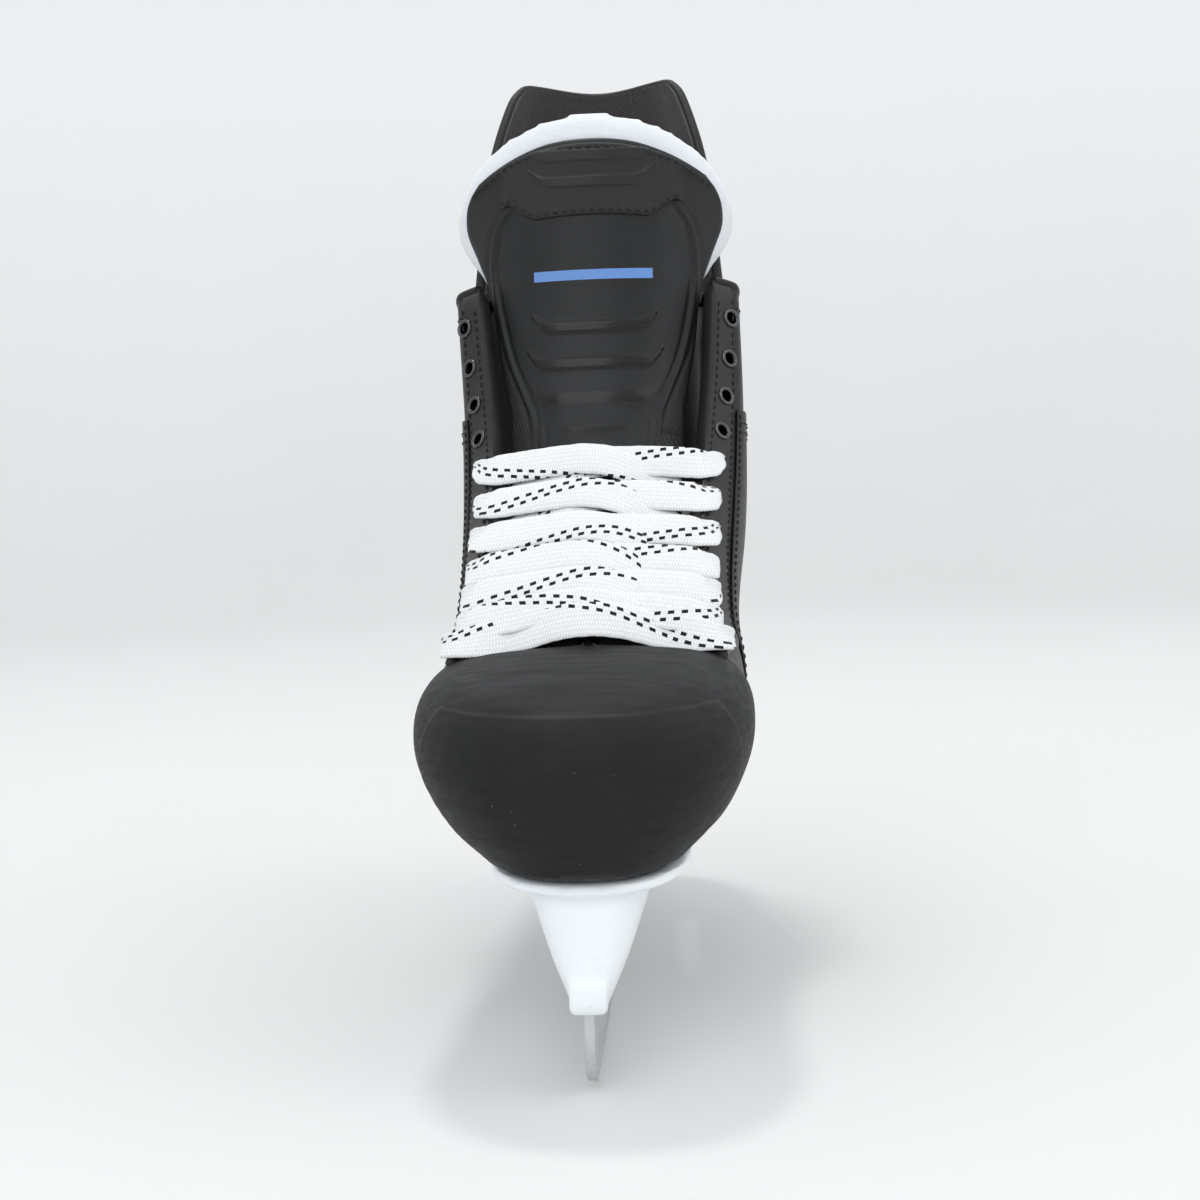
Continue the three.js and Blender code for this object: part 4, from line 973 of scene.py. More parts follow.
def make_facing(name, side):
    hull = coated_leather("facing_leather_" + name, 0.013, 0.34, 0.8)
    outer, inner = [], []
    for r in range(111):
        v = blend_in(0.276, 0.992, r / 110)
        ends = held(min(r, 110 - r) / 3, 0, 1) ** 0.5
        outer.append(strip_layer(side, v, blend_in(0.9, 2.3, ends), blend_in(0.8, 1.9, ends), blend_in(3.6, 4.4, ends)))
        inner.append(strip_layer(side, v, 0.35, 0.35, 3.35))
    points, faces = walled(outer, inner)
    strip = link_piece(f"facing_{name}", mesh_of("facing", points, faces, hull, 60), "boot", "facing_leather",
                       f"facing_strip_{name}")
    cut(strip, *eyelet_bores(2.85, 6, 8, name))
    rows = []
    for u in (0.905, 0.985):
        line = [(blend_in(0.30, 0.975, k / 40), u) for k in range(41)]
        rows.append(stitches(on_boot(side, line, 2.3, 260), 2.5, 0.8, 0.32))
    points, faces = together(*rows)
    link_piece(f"facing_seam_{name}", mesh_of("facing_seam", points, faces, thread), "boot", "facing_leather")


for name, side in sides:
    make_facing(name, side)

# ---- Eyelets --------------------------------------------------------------------------------------------
# Eleven brass eyelets a side, plated black nickel: each has a rolled rim outside and is clenched inside.

black_nickel = plated("black_nickel", (0.085, 0.085, 0.09), 0.3)


def make_eyelets():
    profile = [(2.15, -3.9), (2.3, -4.15), (3.0, -4.1), (3.4, -3.9), (3.1, -3.65), (2.75, -3.6), (2.75, 2.35), (3.4, 2.32), (3.62, 2.5),
               (3.58, 2.75), (3.35, 2.95), (3.0, 3.03), (2.65, 3.0), (2.35, 2.8), (2.2, 2.5), (2.15, 2.2)]
    count = 36
    for (name, i), (_, point, normal) in eyelet_places.items():
        across = normal.orthogonal().normalized()
        up = normal.cross(across)
        grid = [[point + normal * h + (across * cos(k / count * 2 * pi) + up * sin(k / count * 2 * pi)) * r for k in range(count)]
                for r, h in profile + [profile[0]]]
        points = [tuple(p) for row in grid[:-1] for p in row]
        faces = []
        for r in range(len(profile)):
            s = (r + 1) % len(profile)
            for k in range(count):
                j = (k + 1) % count
                faces.append((r * count + k, r * count + j, s * count + j, s * count + k))
        label = f"eyelet_ring_{name}_{i + 1:02d}"
        link_piece(label, mesh_of(label, points, faces, black_nickel, 50), "boot", "eyelet_metal", f"eyelet_{name}_{i + 1:02d}")


make_eyelets()

# ---- Toe cap --------------------------------------------------------------------------------------------
# A hard moulded cap, matt charcoal black and a little dusty. A thicker bumper face covers its front; its
# edge makes a soft crease under the brow and down each side. It is glued and lasted under the quarter.


def toe_plastic():
    finish, tree, shader = blank_finish("toe_plastic", 0.55)
    place = where(tree)
    shade = cloudy(tree, place, 18.0, 4.0)
    base = tint(tree, shade, (0.3, (0.0075, 0.008, 0.0085)), (0.7, (0.0115, 0.012, 0.0125)))
    edge = between(tree, put(tree, "NewGeometry").outputs["Pointiness"], 0.515, 0.56, 0.0, 0.35)
    rubbed = put(tree, "Mix", {"Factor": edge, "A": base, "B": (0.05, 0.05, 0.05, 1.0)}, data_type="RGBA").outputs["Result"]
    speck = put(tree, "TexVoronoi", {"Vector": place, "Scale": 260.0})
    dust = maths(tree, "MULTIPLY", maths(tree, "LESS_THAN", speck.outputs["Distance"], 0.045),
                 between(tree, cloudy(tree, place, 40.0), 0.5, 0.62, 0.0, 0.8))
    dusty = put(tree, "Mix", {"Factor": dust, "A": rubbed, "B": (0.28, 0.28, 0.27, 1.0)}, data_type="RGBA").outputs["Result"]
    tree.links.new(dusty, shader.inputs["Base Color"])
    shader.inputs["Specular IOR Level"].default_value = 0.24
    fine = cloudy(tree, place, 2600.0, 2.0)
    scrape = cloudy(tree, put(tree, "Mapping", {"Vector": place, "Scale": (30.0, 200.0, 500.0)}).outputs["Vector"], 1.0, 5.0)
    tree.links.new(between(tree, scrape, 0.35, 0.7, 0.52, 0.68), shader.inputs["Roughness"])
    relief(tree, shader, maths(tree, "ADD", fine, maths(tree, "MULTIPLY", scrape, 0.4)), 0.00007, 0.55)
    return finish


def ease(x, low, high):
    t = held((x - low) / (high - low), 0, 1)
    return t * t * (3 - 2 * t)


def bumper(t, c):
    """How far the bumper face stands proud: full in front, none over the brow and round the sides."""
    brow = 0.668 - 0.075 * abs(c) ** 2
    flank = 0.60 + 0.10 * sin(pi * held(t / 0.62, 0, 1))
    return (1 - ease(t, brow - 0.006, brow + 0.010)) * (1 - ease(abs(c), flank - 0.012, flank + 0.014))


def make_toe():
    rows, columns = 120, 168
    grids = []
    for depth in (0.0, 3.0):
        grid = []
        for r in range(rows + 1):
            t = r / rows
            back = toe_back(toe_back_z(t))
            row = []
            for i in range(columns + 1):
                c = blend_in(-1, 1, i / columns)
                c0, c1, t0, t1 = max(c - 0.01, -1), min(c + 0.01, 1), max(t - 0.004, 0), min(t + 0.004, 0.999)
                around = toe_surface(t, c1, back) - toe_surface(t, c0, back)
                up = toe_surface(t1, c, toe_back(toe_back_z(t1))) - toe_surface(t0, c, toe_back(toe_back_z(t0)))
                normal = around.cross(up).normalized()
                p = toe_surface(t, c, back) - normal * (depth + (0.75 - 0.75 * bumper(t, c) if not depth else 0.75))
                p.y = max(min(p.y, back), -155)
                row.append(p)
            grid.append(row)
        grids.append(grid)
    points, faces = walled(*grids)
    cap = link_piece("toe_box", mesh_of("toe_box", points, faces, toe_plastic(), 55), "boot", "toe_plastic", "toe_cap")
    soften(cap, 0.6, 2, 70)


make_toe()

# ---- Liner ----------------------------------------------------------------------------------------------
# The padded lining: foam faced with a dark brushed cloth, glued inside the quarter from the collar down to
# the sole. It is thicker round the ankle and is quilted by the heat of the moulding.

lining = soft_cloth("lining_cloth", (0.016, 0.015, 0.016), (0.052, 0.048, 0.049), 1500.0)


def puff(made, swell_by, pressure=3.0, voxel=0.0042):
    """Blows a foam piece up like the padding it is, and lets no point move further than swell_by mm."""
    remesh = made.modifiers.new("even", "REMESH")
    remesh.mode = "VOXEL"
    remesh.voxel_size = voxel
    settle(made)
    before = [v.co.copy() for v in made.data.vertices]
    scene = bpy.context.scene
    cloth = made.modifiers.new("padding", "CLOTH")
    cloth.settings.use_pressure = True
    cloth.settings.uniform_pressure_force = pressure
    cloth.settings.effector_weights.gravity = 0.0
    cloth.settings.quality = 5
    cloth.point_cache.frame_start, cloth.point_cache.frame_end = 1, 12
    for i in range(1, 13):
        scene.frame_set(i)
    settle(made)
    scene.frame_set(1)
    for vertex, start in zip(made.data.vertices, before):
        moved = vertex.co - start
        if moved.length > swell_by / 1000:
            vertex.co = start + moved.normalized() * swell_by / 1000
    smooth = made.modifiers.new("fair", "SMOOTH")
    smooth.factor, smooth.iterations = 0.5, 2
    finer = made.modifiers.new("finer", "SUBSURF")
    finer.levels = finer.render_levels = 1
    settle(made)
    made.data.shade_smooth()


def make_liner():
    outer, inner = [], []
    rows, columns = 64, 70
    for r in range(rows + 1):
        v = blend_in(1 / 11, 0.996, r / rows)
        top = ease(v, 0.93, 1.0)
        # The front edge stands back from the clinched rims of the top eyelets.
        front = 8 / 9 - 0.018 * ease(v, 0.78, 0.9)
        faces_out, faces_in = [], []
        for c in range(-columns, columns + 1):
            u = abs(c) / columns * front
            side = -1 if c < 0 else 1
            ends = held(min(columns - abs(c), 3) / 3, 0, 1) ** 0.5
            ankle = sin(pi * held((v - 0.35) / 0.55, 0, 1)) * sin(pi * held(u / 0.62, 0, 1))
            thick = blend_in(1.6, 4.15, ends * (1 - 0.35 * top)) + 0.9 * ankle * ends
            faces_out.append(boot_point(side, v, u, 3.35))
            faces_in.append(boot_point(side, v, u, 3.35 + thick))
        outer.append(faces_out)
        inner.append(faces_in)
    points, faces = walled(outer, inner)
    pad = link_piece("padded_liner", mesh_of("padded_liner", points, faces, lining, 60), "boot", "lining_cloth", "liner")
    soften(pad, 0.7, 2, 60)


make_liner()

# ---- Tendon guard ---------------------------------------------------------------------------------------
# A springy moulded guard that stands up behind the ankle and bends back with the leg. It is black nylon
# with a bound edge, and faced inside with the same padded cloth as the boot.


def guard_surface(w, c):
    side, across = (-1 if c < 0 else 1), abs(c)
    base = boot_surface(1, 1, 0) if across < 1e-6 else boot_surface(side, 1, across * 0.47)
    angle = across * 1.02
    top_x = 36.5 * sin(angle) / sin(1.02)
    top_y = 136 - 30 * (1 - cos(angle)) / (1 - cos(1.02)) * 0.72
    top_z = 340 + 2.4 * sin(pi * held(across * 0.72, 0, 1)) ** 2 - 25 * max(across - 0.8, 0)
    bulge = sin(pi * w**1.4)
    return Vector((side * (blend_in(abs(base.x), top_x, w) + 3.2 * bulge * across), blend_in(base.y, top_y, w) - 3 * bulge,
                   blend_in(base.z + 1.6, top_z, w)))


def guard_normal(w, c):
    around = guard_surface(w, min(c + 0.02, 1)) - guard_surface(w, max(c - 0.02, -1))
    up = guard_surface(min(w + 0.02, 1), c) - guard_surface(max(w - 0.02, 0), c)
    return around.cross(up).normalized()


def guard_grid(depth, rows=46, columns=36, inset=0.0, relief_of=None):
    grid = []
    for r in range(rows + 1):
        w = blend_in(inset, 1 - inset, r / rows)
        row = []
        for i in range(-columns, columns + 1):
            c = i / columns * (1 - inset)
            row.append(guard_surface(w, c) + guard_normal(w, c) * (depth + (relief_of(w, c) if relief_of else 0)))
        grid.append(row)
    return grid


def make_guard():
    def sunk(w, c):
        """Three shallow flutes across the bend, and a slightly sunk field above them."""
        flutes = sum(0.55 * max(0, 1 - ((w - at) / 0.022) ** 2) for at in (0.10, 0.17, 0.24)) * ease(abs(c), 0.92, 0.80)
        field = 0.5 * ease(w, 0.33, 0.36) * ease(w, 0.90, 0.87) * ease(abs(c), 0.80, 0.74)
        return flutes + field

    shell_nylon = black_nylon("guard_nylon", 0.012, 0.45)
    points, faces = walled(guard_grid(0.0, 84, 60, 0.0, sunk), guard_grid(2.6, 84, 60))
    guard = link_piece("guard_shell", mesh_of("guard_shell", points, faces, shell_nylon, 50), "tendon_guard", "guard_plastic", "tendon_guard")
    soften(guard, 0.8, 3, 60)
    points, faces = walled(guard_grid(2.95, 40, 30, 0.012), guard_grid(5.6, 40, 30, 0.012))
    pad = link_piece("guard_padding", mesh_of("guard_padding", points, faces, lining, 60), "tendon_guard", "lining_cloth", "tendon_guard_lining")
    soften(pad, 0.9, 3, 60)
    # Binding round the sides and top, sewn through.
    edge = [(w / 20, -1) for w in range(1, 20)] + [(1, c / 30) for c in range(-30, 31)] + [(w / 20, 1) for w in range(19, 0, -1)]
    path = [guard_surface(w, c) + guard_normal(w, c) * 1.9 for w, c in edge]
    for _ in range(2):
        path = [path[0]] + [(a + b * 2 + c) / 4 for a, b, c in zip(path, path[1:], path[2:])] + [path[-1]]
    points, faces = tube([tuple(p) for p in path], 2.1, 14)
    link_piece("guard_binding", mesh_of("guard_binding", points, faces, coated_leather("binding_leather", 0.010, 0.5)), "tendon_guard", "guard_plastic")
    inset = [(w / 40, -0.93) for w in range(2, 38)] + [(0.945, c / 40 * 0.93) for c in range(-40, 41)] + [(w / 40, 0.93) for w in range(37, 1, -1)]
    points, faces = stitches([(guard_surface(w, c), -guard_normal(w, c)) for w, c in inset], 2.4, 0.9, 0.32)
    link_piece("guard_seam", mesh_of("guard_seam", points, faces, thread), "tendon_guard", "guard_plastic")


make_guard()

# ---- Tongue ---------------------------------------------------------------------------------------------
# Thick white felt faced with black coated leather, sewn to the toe cap at its foot. A piped centre panel
# carries moulded ribs, and a twill patch with two raised bars is stitched over the top.

upper_y = curve_of((0, 12.8), (0.25, 21.5), (0.5, 27.5), (0.75, 31), (1, 31.5))
upper_z = curve_of((0, 199.5), (0.25, 224.5), (0.5, 251.5), (0.75, 279.5), (1, 306.5))
upper_radius = curve_of((0, 50), (0.25, 50), (0.5, 55), (0.75, 66), (1, 76))
upper_half = curve_of((0, 33), (0.25, 38.5), (0.5, 42.5), (0.62, 46.5), (0.78, 51), (0.9, 51), (0.96, 49), (1, 45))
felt_half = curve_of((0, 31), (0.25, 36.5), (0.44, 42), (0.52, 47), (0.62, 52.5), (0.7, 56.5),
                     (0.78, 58.5), (0.9, 60), (0.98, 59), (1.04, 55.5), (1.08, 51.5), (1.1, 47))


def front_frame(v):
    v0, v1 = max(v - 0.01, 0), min(v + 0.01, 1)
    ty, tz = front_y(v1) - front_y(v0), front_z(v1) - front_z(v0)
    size = hypot(ty, tz)
    return front_y(v), front_z(v), -tz / size, ty / size


def tongue_arch(x, half):
    return 5.5 - 11.5 * (x / half) ** 2


def lower_tongue(v, x, rise, half):
    y, z, ny, nz = front_frame(v)
    n = tongue_arch(x, half) + rise
    return Vector((x, y + ny * n, z + nz * n))


def upper_tongue(t, share, rise, half):
    inside = min(t, 1)
    z = upper_z(1) + (t - 1) * 110 if t > 1 else upper_z(t)
    radius = upper_radius(inside)
    angle = share * asin(min(half / radius, 0.98))
    droop = 14 * (abs(radius * sin(angle)) / 46) ** 2.2 * held((t - 0.5) / 0.5, 0, 1) ** 1.3
    return Vector(((radius + rise) * sin(angle), upper_y(inside) + radius - (radius + rise) * cos(angle), z - droop))


foot_v, hinge_v = 0.3, 0.77
lower_rows = 120  # the tongue's rows below the hinge; the rest run on to its top


def tongue_row(k, rows, top=1.0):
    """The place of row k: ("lower", v) up to the hinge and ("upper", t) past it."""
    if k <= lower_rows * rows / 240:
        return "lower", blend_in(foot_v, hinge_v - 0.012, k / (lower_rows * rows / 240))
    return "upper", blend_in(0.012, top, (k / rows - 0.5) * 2)


def tongue_point(where_at, share, rise, slim=0.0, felt=False):
    kind, value = where_at
    if kind == "lower":
        half = edge_width(value) - 6.6
        wide = half - slim + (2.2 if not felt else 0) * ease(value, 0.55, 0.76)
        tucked = 3.6 * (1 - ease(value, 0.31, 0.37))
        return lower_tongue(value, share * wide, rise - tucked, half)
    half = (felt_half if felt else upper_half)(value) - slim
    return upper_tongue(value, share, rise, half)


seam_half = curve_of((120, 17), (193, 20.5), (209, 27), (226, 34), (246, 38.5), (262, 40), (275, 37.5), (282, 33), (300, 30), (320, 28))


def rib(x, z, at, half, height, tip):
    """A moulded rib: level along its middle, its ends swept up to a point. Gives its height at a point, 0 to 1."""
    over = abs(x) - (half - tip)
    lift = 5.5 * held(over / tip, 0, 1) ** 1.6
    thick = height * (1 - held(over / tip, 0, 1) ** 1.3 * 0.85)
    if abs(x) > half:
        return 0.0
    d = (z - at - lift) / (thick / 2)
    return ease(1.25 - abs(d), 0.0, 0.45)


ribs = ((236, 24, 4.2), (222.3, 26, 4.2), (209.2, 25, 4.2), (196.4, 21.5, 4.0), (184.5, 18, 3.6))


def rib_height(x, z):
    return max(rib(x, z, at, half, height, 7) for at, half, height in ribs) if z < 246 else 0.0


def fold_rows(grid, centre, reach, passes=14):
    """Evens rows out round the hinge line, where the lower tongue runs into the upper."""
    for _ in range(passes):
        before = grid
        grid = [list(row) for row in grid]
        for r in range(max(1, centre - reach), min(len(grid) - 1, centre + reach)):
            for c in range(len(grid[r])):
                grid[r][c] = (before[r - 1][c] + before[r][c] * 2 + before[r + 1][c]) / 4
    return grid


def twill_weave(tree, flat):
    """Steep diagonal ribs crossed by finer yarns, 0 in the grooves and 1 on the ribs."""
    parts = put(tree, "SeparateXYZ", {"Vector": flat})
    x, y = parts.outputs["X"], parts.outputs["Y"]
    lean = maths(tree, "ADD", maths(tree, "MULTIPLY", x, 5200.0), maths(tree, "MULTIPLY", y, 5200.0))
    lines = maths(tree, "ADD", maths(tree, "MULTIPLY", maths(tree, "SINE", lean), 0.5), 0.5)
    cross = maths(tree, "SUBTRACT", maths(tree, "MULTIPLY", x, 7400.0), maths(tree, "MULTIPLY", y, 5200.0))
    yarn = maths(tree, "ADD", maths(tree, "MULTIPLY", maths(tree, "SINE", cross), 0.5), 0.5)
    return maths(tree, "MULTIPLY", lines, maths(tree, "ADD", 0.6, maths(tree, "MULTIPLY", yarn, 0.4)))


def tongue_leather():
    finish, tree, shader = blank_finish("tongue_leather", 0.36)
    flat = put(tree, "UVMap").outputs["UV"]
    pebble = put(tree, "TexVoronoi", {"Vector": flat, "Scale": 1150.0}).outputs["Distance"]
    crease = cloudy(tree, flat, 130.0, 5.0, 0.65)
    raised = put(tree, "Attribute", attribute_name="raised").outputs["Fac"]
    shade = cloudy(tree, flat, 22.0)
    base = tint(tree, shade, (0.3, (0.0075, 0.0083, 0.009)), (0.7, (0.0115, 0.0125, 0.0135)))
    glossy = put(tree, "Mix", {"Factor": raised, "A": base, "B": (0.006, 0.0065, 0.007, 1.0)}, data_type="RGBA").outputs["Result"]
    # A plain bar printed in muted blue across the centre panel.
    parts = put(tree, "SeparateXYZ", {"Vector": flat})
    dx = maths(tree, "ABSOLUTE", parts.outputs["X"])
    dy = maths(tree, "ABSOLUTE", maths(tree, "SUBTRACT", parts.outputs["Y"], 0.2555))
    bar = maths(tree, "MULTIPLY", maths(tree, "LESS_THAN", dx, 0.0225), maths(tree, "LESS_THAN", dy, 0.0019))
    ink = between(tree, cloudy(tree, flat, 1400.0), 0.25, 0.5, 0.86, 1.0)
    printed = put(tree, "Mix", {"Factor": maths(tree, "MULTIPLY", bar, ink), "A": glossy, "B": (0.13, 0.27, 0.60, 1.0)}, data_type="RGBA")
    # Outside the piped seams the facing is twill, not leather.
    woven = put(tree, "Attribute", attribute_name="twill").outputs["Fac"]
    weave = twill_weave(tree, flat)
    cloth = tint(tree, weave, (0.0, (0.006, 0.0062, 0.0065)), (1.0, (0.030, 0.031, 0.032)))
    colour = put(tree, "Mix", {"Factor": woven, "A": printed.outputs["Result"], "B": cloth}, data_type="RGBA")
    tree.links.new(colour.outputs["Result"], shader.inputs["Base Color"])
    both = maths(tree, "ADD", maths(tree, "MULTIPLY", pebble, 0.55), maths(tree, "MULTIPLY", crease, 0.6))
    plain = between(tree, both, 0.2, 0.8, 0.36, 0.50)
    polish = put(tree, "Mix", {"Factor": raised, "A": plain, "B": 0.20}).outputs["Result"]
    rough = put(tree, "Mix", {"Factor": woven, "A": polish, "B": 0.55}).outputs["Result"]
    tree.links.new(rough, shader.inputs["Roughness"])
    smooth = maths(tree, "MULTIPLY", both, maths(tree, "SUBTRACT", 1.0, maths(tree, "MULTIPLY", raised, 0.8)))
    height = put(tree, "Mix", {"Factor": woven, "A": smooth, "B": weave}).outputs["Result"]
    shader.inputs["Specular IOR Level"].default_value = 0.32
    relief(tree, shader, height, 0.00018, 0.5)
    return finish


def twill_cloth():
    finish, tree, shader = blank_finish("tongue_twill", 0.62)
    flat = put(tree, "UVMap").outputs["UV"]
    weave = twill_weave(tree, flat)
    raised = put(tree, "Attribute", attribute_name="raised").outputs["Fac"]
    cloth = tint(tree, weave, (0.0, (0.006, 0.0062, 0.0065)), (1.0, (0.030, 0.031, 0.032)))
    colour = put(tree, "Mix", {"Factor": raised, "A": cloth, "B": (0.016, 0.0165, 0.017, 1.0)}, data_type="RGBA").outputs["Result"]
    tree.links.new(colour, shader.inputs["Base Color"])
    tree.links.new(put(tree, "Mix", {"Factor": raised, "A": 0.55, "B": 0.16}).outputs["Result"], shader.inputs["Roughness"])
    shader.inputs["Specular IOR Level"].default_value = 0.35
    pressed = maths(tree, "MULTIPLY", weave, maths(tree, "SUBTRACT", 1.0, maths(tree, "MULTIPLY", raised, 0.75)))
    relief(tree, shader, pressed, 0.00022, 0.6)
    return finish


def white_felt():
    finish, tree, shader = blank_finish("white_felt", 0.95)
    place = where(tree)
    matted = cloudy(tree, place, 900.0, 6.0, 0.8)
    clumps = cloudy(tree, place, 220.0, 3.0)
    fibres = cloudy(tree, put(tree, "Mapping", {"Vector": place, "Rotation": (0.5, 0.9, 0.3), "Scale": (300.0, 2600.0, 900.0)}).outputs["Vector"], 1.0, 3.0)
    fluff = maths(tree, "ADD", maths(tree, "MULTIPLY", matted, 0.55), maths(tree, "MULTIPLY", fibres, 0.45))
    tone = maths(tree, "ADD", maths(tree, "MULTIPLY", fluff, 0.5), maths(tree, "MULTIPLY", clumps, 0.5))
    tree.links.new(tint(tree, tone, (0.3, (0.70, 0.735, 0.77)), (0.7, (0.80, 0.83, 0.86))), shader.inputs["Base Color"])
    shader.inputs["Sheen Weight"].default_value = 0.35
    shader.inputs["Sheen Roughness"].default_value = 0.5
    shader.inputs["Specular IOR Level"].default_value = 0.15
    tree.links.new(between(tree, fluff, 0.2, 0.8, 0.88, 1.0), shader.inputs["Roughness"])
    relief(tree, shader, fluff, 0.0007, 0.6)
    return finish


def lay_flat(mesh, spots):
    """Stores where each point lies on the flat cloth, in metres, and how far it is raised."""
    raised = mesh.attributes.new("raised", "FLOAT", "POINT")
    raised.data.foreach_set("value", [s[2] for s in spots])
    layer = mesh.uv_layers.new(name="flat")
    for loop in mesh.loops:
        layer.data[loop.index].uv = spots[loop.vertex_index][:2]


def make_tongue_facing():
    rows, columns = 270, 150
    outer, inner, spots_out = [], [], []
    for r in range(rows + 1):
        at = tongue_row(r, rows)
        edge_rows = held(min(r, rows - r) / 4, 0, 1) ** 0.5
        row_out, row_in = [], []
        for i in range(columns + 1):
            share = 2 * i / columns - 1
            edge = held(min(i, columns - i) / 4, 0, 1) ** 0.5
            flat = tongue_point(at, share, 0)
            x, z = flat.x, flat.z
            seam = abs(abs(x) - seam_half(z))
            piping = 0.55 * max(0, 1 - (seam / 1.1) ** 2) ** 0.5 if seam < 1.1 and z < 283 else 0.0
            trough = -0.45 * max(0, 1 - ((seam - 2.0) / 1.1) ** 2) if z < 283 else 0.0
            ribbed = rib_height(x, z) * (abs(x) < seam_half(z) - 2)
            crown = 0.9 * ease(seam_half(z) - abs(x), 2, 14)
            row_out.append(tongue_point(at, share, -1.1 + (1.1 * edge * edge_rows) - 0.85 + piping + trough + 0.8 * ribbed + crown * 0.9))
            row_in.append(tongue_point(at, share, -2.0))
            spots_out.append((x / 1000, z / 1000, ribbed))
        outer.append(row_out)
        inner.append(row_in)
    hinge = int(rows * 0.5)
    outer, inner = fold_rows(outer, hinge, 22), fold_rows(inner, hinge, 22)
    points, faces = walled(outer, inner)
    mesh = mesh_of("tongue_facing", points, faces, tongue_leather(), 70)
    lay_flat(mesh, spots_out + [(x, z, 0.0) for x, z, _ in spots_out])
    woven = mesh.attributes.new("twill", "FLOAT", "POINT")
    woven.data.foreach_set("value", [ease(abs(x * 1000) - seam_half(z * 1000), 0.9, 1.5) for x, z, _ in spots_out] * 2)
    facing = link_piece("tongue_facing", mesh, None, "tongue_leather", "tongue_facing_lower", "tongue_facing_upper")
    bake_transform(facing)


def patch_foot(share):
    """The patch's lower edge dips in the middle and turns up to meet the panel's seams."""
    a = abs(share)
    return 0.735 + 0.085 * ease(a, 0.36, 0.60)


def make_patch():
    rows, columns = 96, 150
    outer, inner, spots = [], [], []
    for r in range(rows + 1):
        row_out, row_in = [], []
        for i in range(columns + 1):
            share = (2 * i / columns - 1) * 0.965
            t = blend_in(patch_foot(share), 0.984, r / rows)
            edge = held(min(i, columns - i, r, rows - r) / 3, 0, 1) ** 0.5
            flat = upper_tongue(t, share, 0, upper_half(t))
            x, z = flat.x, flat.z
            bars = max(rib(x, z, 290.6, 23.5, 4.0, 8), rib(x, z, 300.2, 25.5, 4.4, 8))
            level = 0.95 - 2.0 * ease(abs(x), 31, 36)
            row_out.append(upper_tongue(t, share, blend_in(min(-0.12, level), level, edge) + 0.6 * bars, upper_half(t)))
            row_in.append(upper_tongue(t, share, min(-0.3, level - 0.3), upper_half(t)))
            spots.append((x / 1000, z / 1000, bars))
        outer.append(row_out)
        inner.append(row_in)
    points, faces = walled(outer, inner)
    mesh = mesh_of("tongue_patch", points, faces, twill_cloth(), 60)
    lay_flat(mesh, spots + [(x, z, 0.0) for x, z, _ in spots])
    link_piece("tongue_patch", mesh, "tongue", "tongue_twill", "tongue_top_patch")

    def over(t, share, rise):
        a, b = upper_tongue(t, share, rise, upper_half(t)), upper_tongue(t, share, rise + 1, upper_half(t))
        return a, (b - a)

    foot = [over(patch_foot(s) + 0.016, s, 0.95) for s in [(k / 60 - 1) * 0.64 for k in range(121)]]
    crown = [over(0.968 - 0.02 * ease(abs(s), 0.6, 0.93), s, 0.95 - 0.95 * ease(abs(s), 0.6, 0.75)) for s in [(k / 60 - 1) * 0.93 for k in range(121)]]
    points, faces = together(stitches(foot, 2.6, 0.9, 0.36), stitches(crown, 2.6, 0.9, 0.34))
    link_piece("tongue_patch_seam", mesh_of("tongue_patch_seam", points, faces, thread), "tongue", "tongue_twill")


def make_felt():
    rows, columns = 120, 60
    outer, inner = [], []
    for r in range(rows + 1):
        at = tongue_row(r, rows, 1.098)
        if at[0] == "lower":
            at = ("lower", max(at[1], 0.31 + 0.001 * r))
        ends = held(min(r, rows - r) / 5, 0, 1) ** 0.5
        row_out, row_in = [], []
        for i in range(columns + 1):
            share = 2 * i / columns - 1
            edge = held(min(i, columns - i) / 5, 0, 1) ** 0.5 * ends
            deep = 8.5 if at[0] == "lower" else blend_in(8.5, 10.8, held(at[1] * 3, 0, 1))
            middle = (2.5 + deep) / 2
            notch = 0.9 * max(0, 1 - (abs(share) / 0.035) ** 2) if at[0] == "upper" and at[1] > 0.9 else 0.0
            row_out.append(tongue_point(at, share, -blend_in(middle, 2.4, edge) - notch, 2.0 if at[0] == "lower" else 0.3, True))
            row_in.append(tongue_point(at, share, -blend_in(middle, deep, edge), 2.0 if at[0] == "lower" else 0.3, True))
        outer.append(row_out)
        inner.append(row_in)
    hinge = int(rows * 0.5)
    outer, inner = fold_rows(outer, hinge, 12, 10), fold_rows(inner, hinge, 12, 10)
    points, faces = walled(outer, inner)
    felt = link_piece("tongue_felt", mesh_of("tongue_felt", points, faces, white_felt(), 70), None, "white_felt",
                      "tongue_felt_lower", "tongue_felt_upper")
    puff(felt, 0.8, 2.0, 0.0024)
    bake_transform(felt)


make_tongue_facing()
make_patch()
make_felt()

# ---- Lace and its tips ----------------------------------------------------------------------------------
# One flat braided lace, white polyester with two dashed black tracer threads. A bar joins the lowest pair
# of eyelets; the ends cross the tongue six times each and are tucked inside, where film tips bind them.

lace_thickness = 1.3
lace_deep = 4.9
lace_high = 4.7


def through_eyelet(place, sign=1):
    v, point, normal = place
    return [(point + normal * h, 2.9, v) for h in (lace_high, 0.5, -lace_deep)]


def over_tongue(v, x, layer, least=-2.5):
    y, z, ny, nz = front_frame(v)
    half = edge_width(v) - 6.6
    crossing = layer * 1.75 * held(1.4 - abs(x) / 20, 0, 1)
    n = max(tongue_arch(x, half), least) + 1.0 + lace_thickness / 2 + crossing
    return Vector((x, y + ny * n, z + nz * n)), 13.0, v


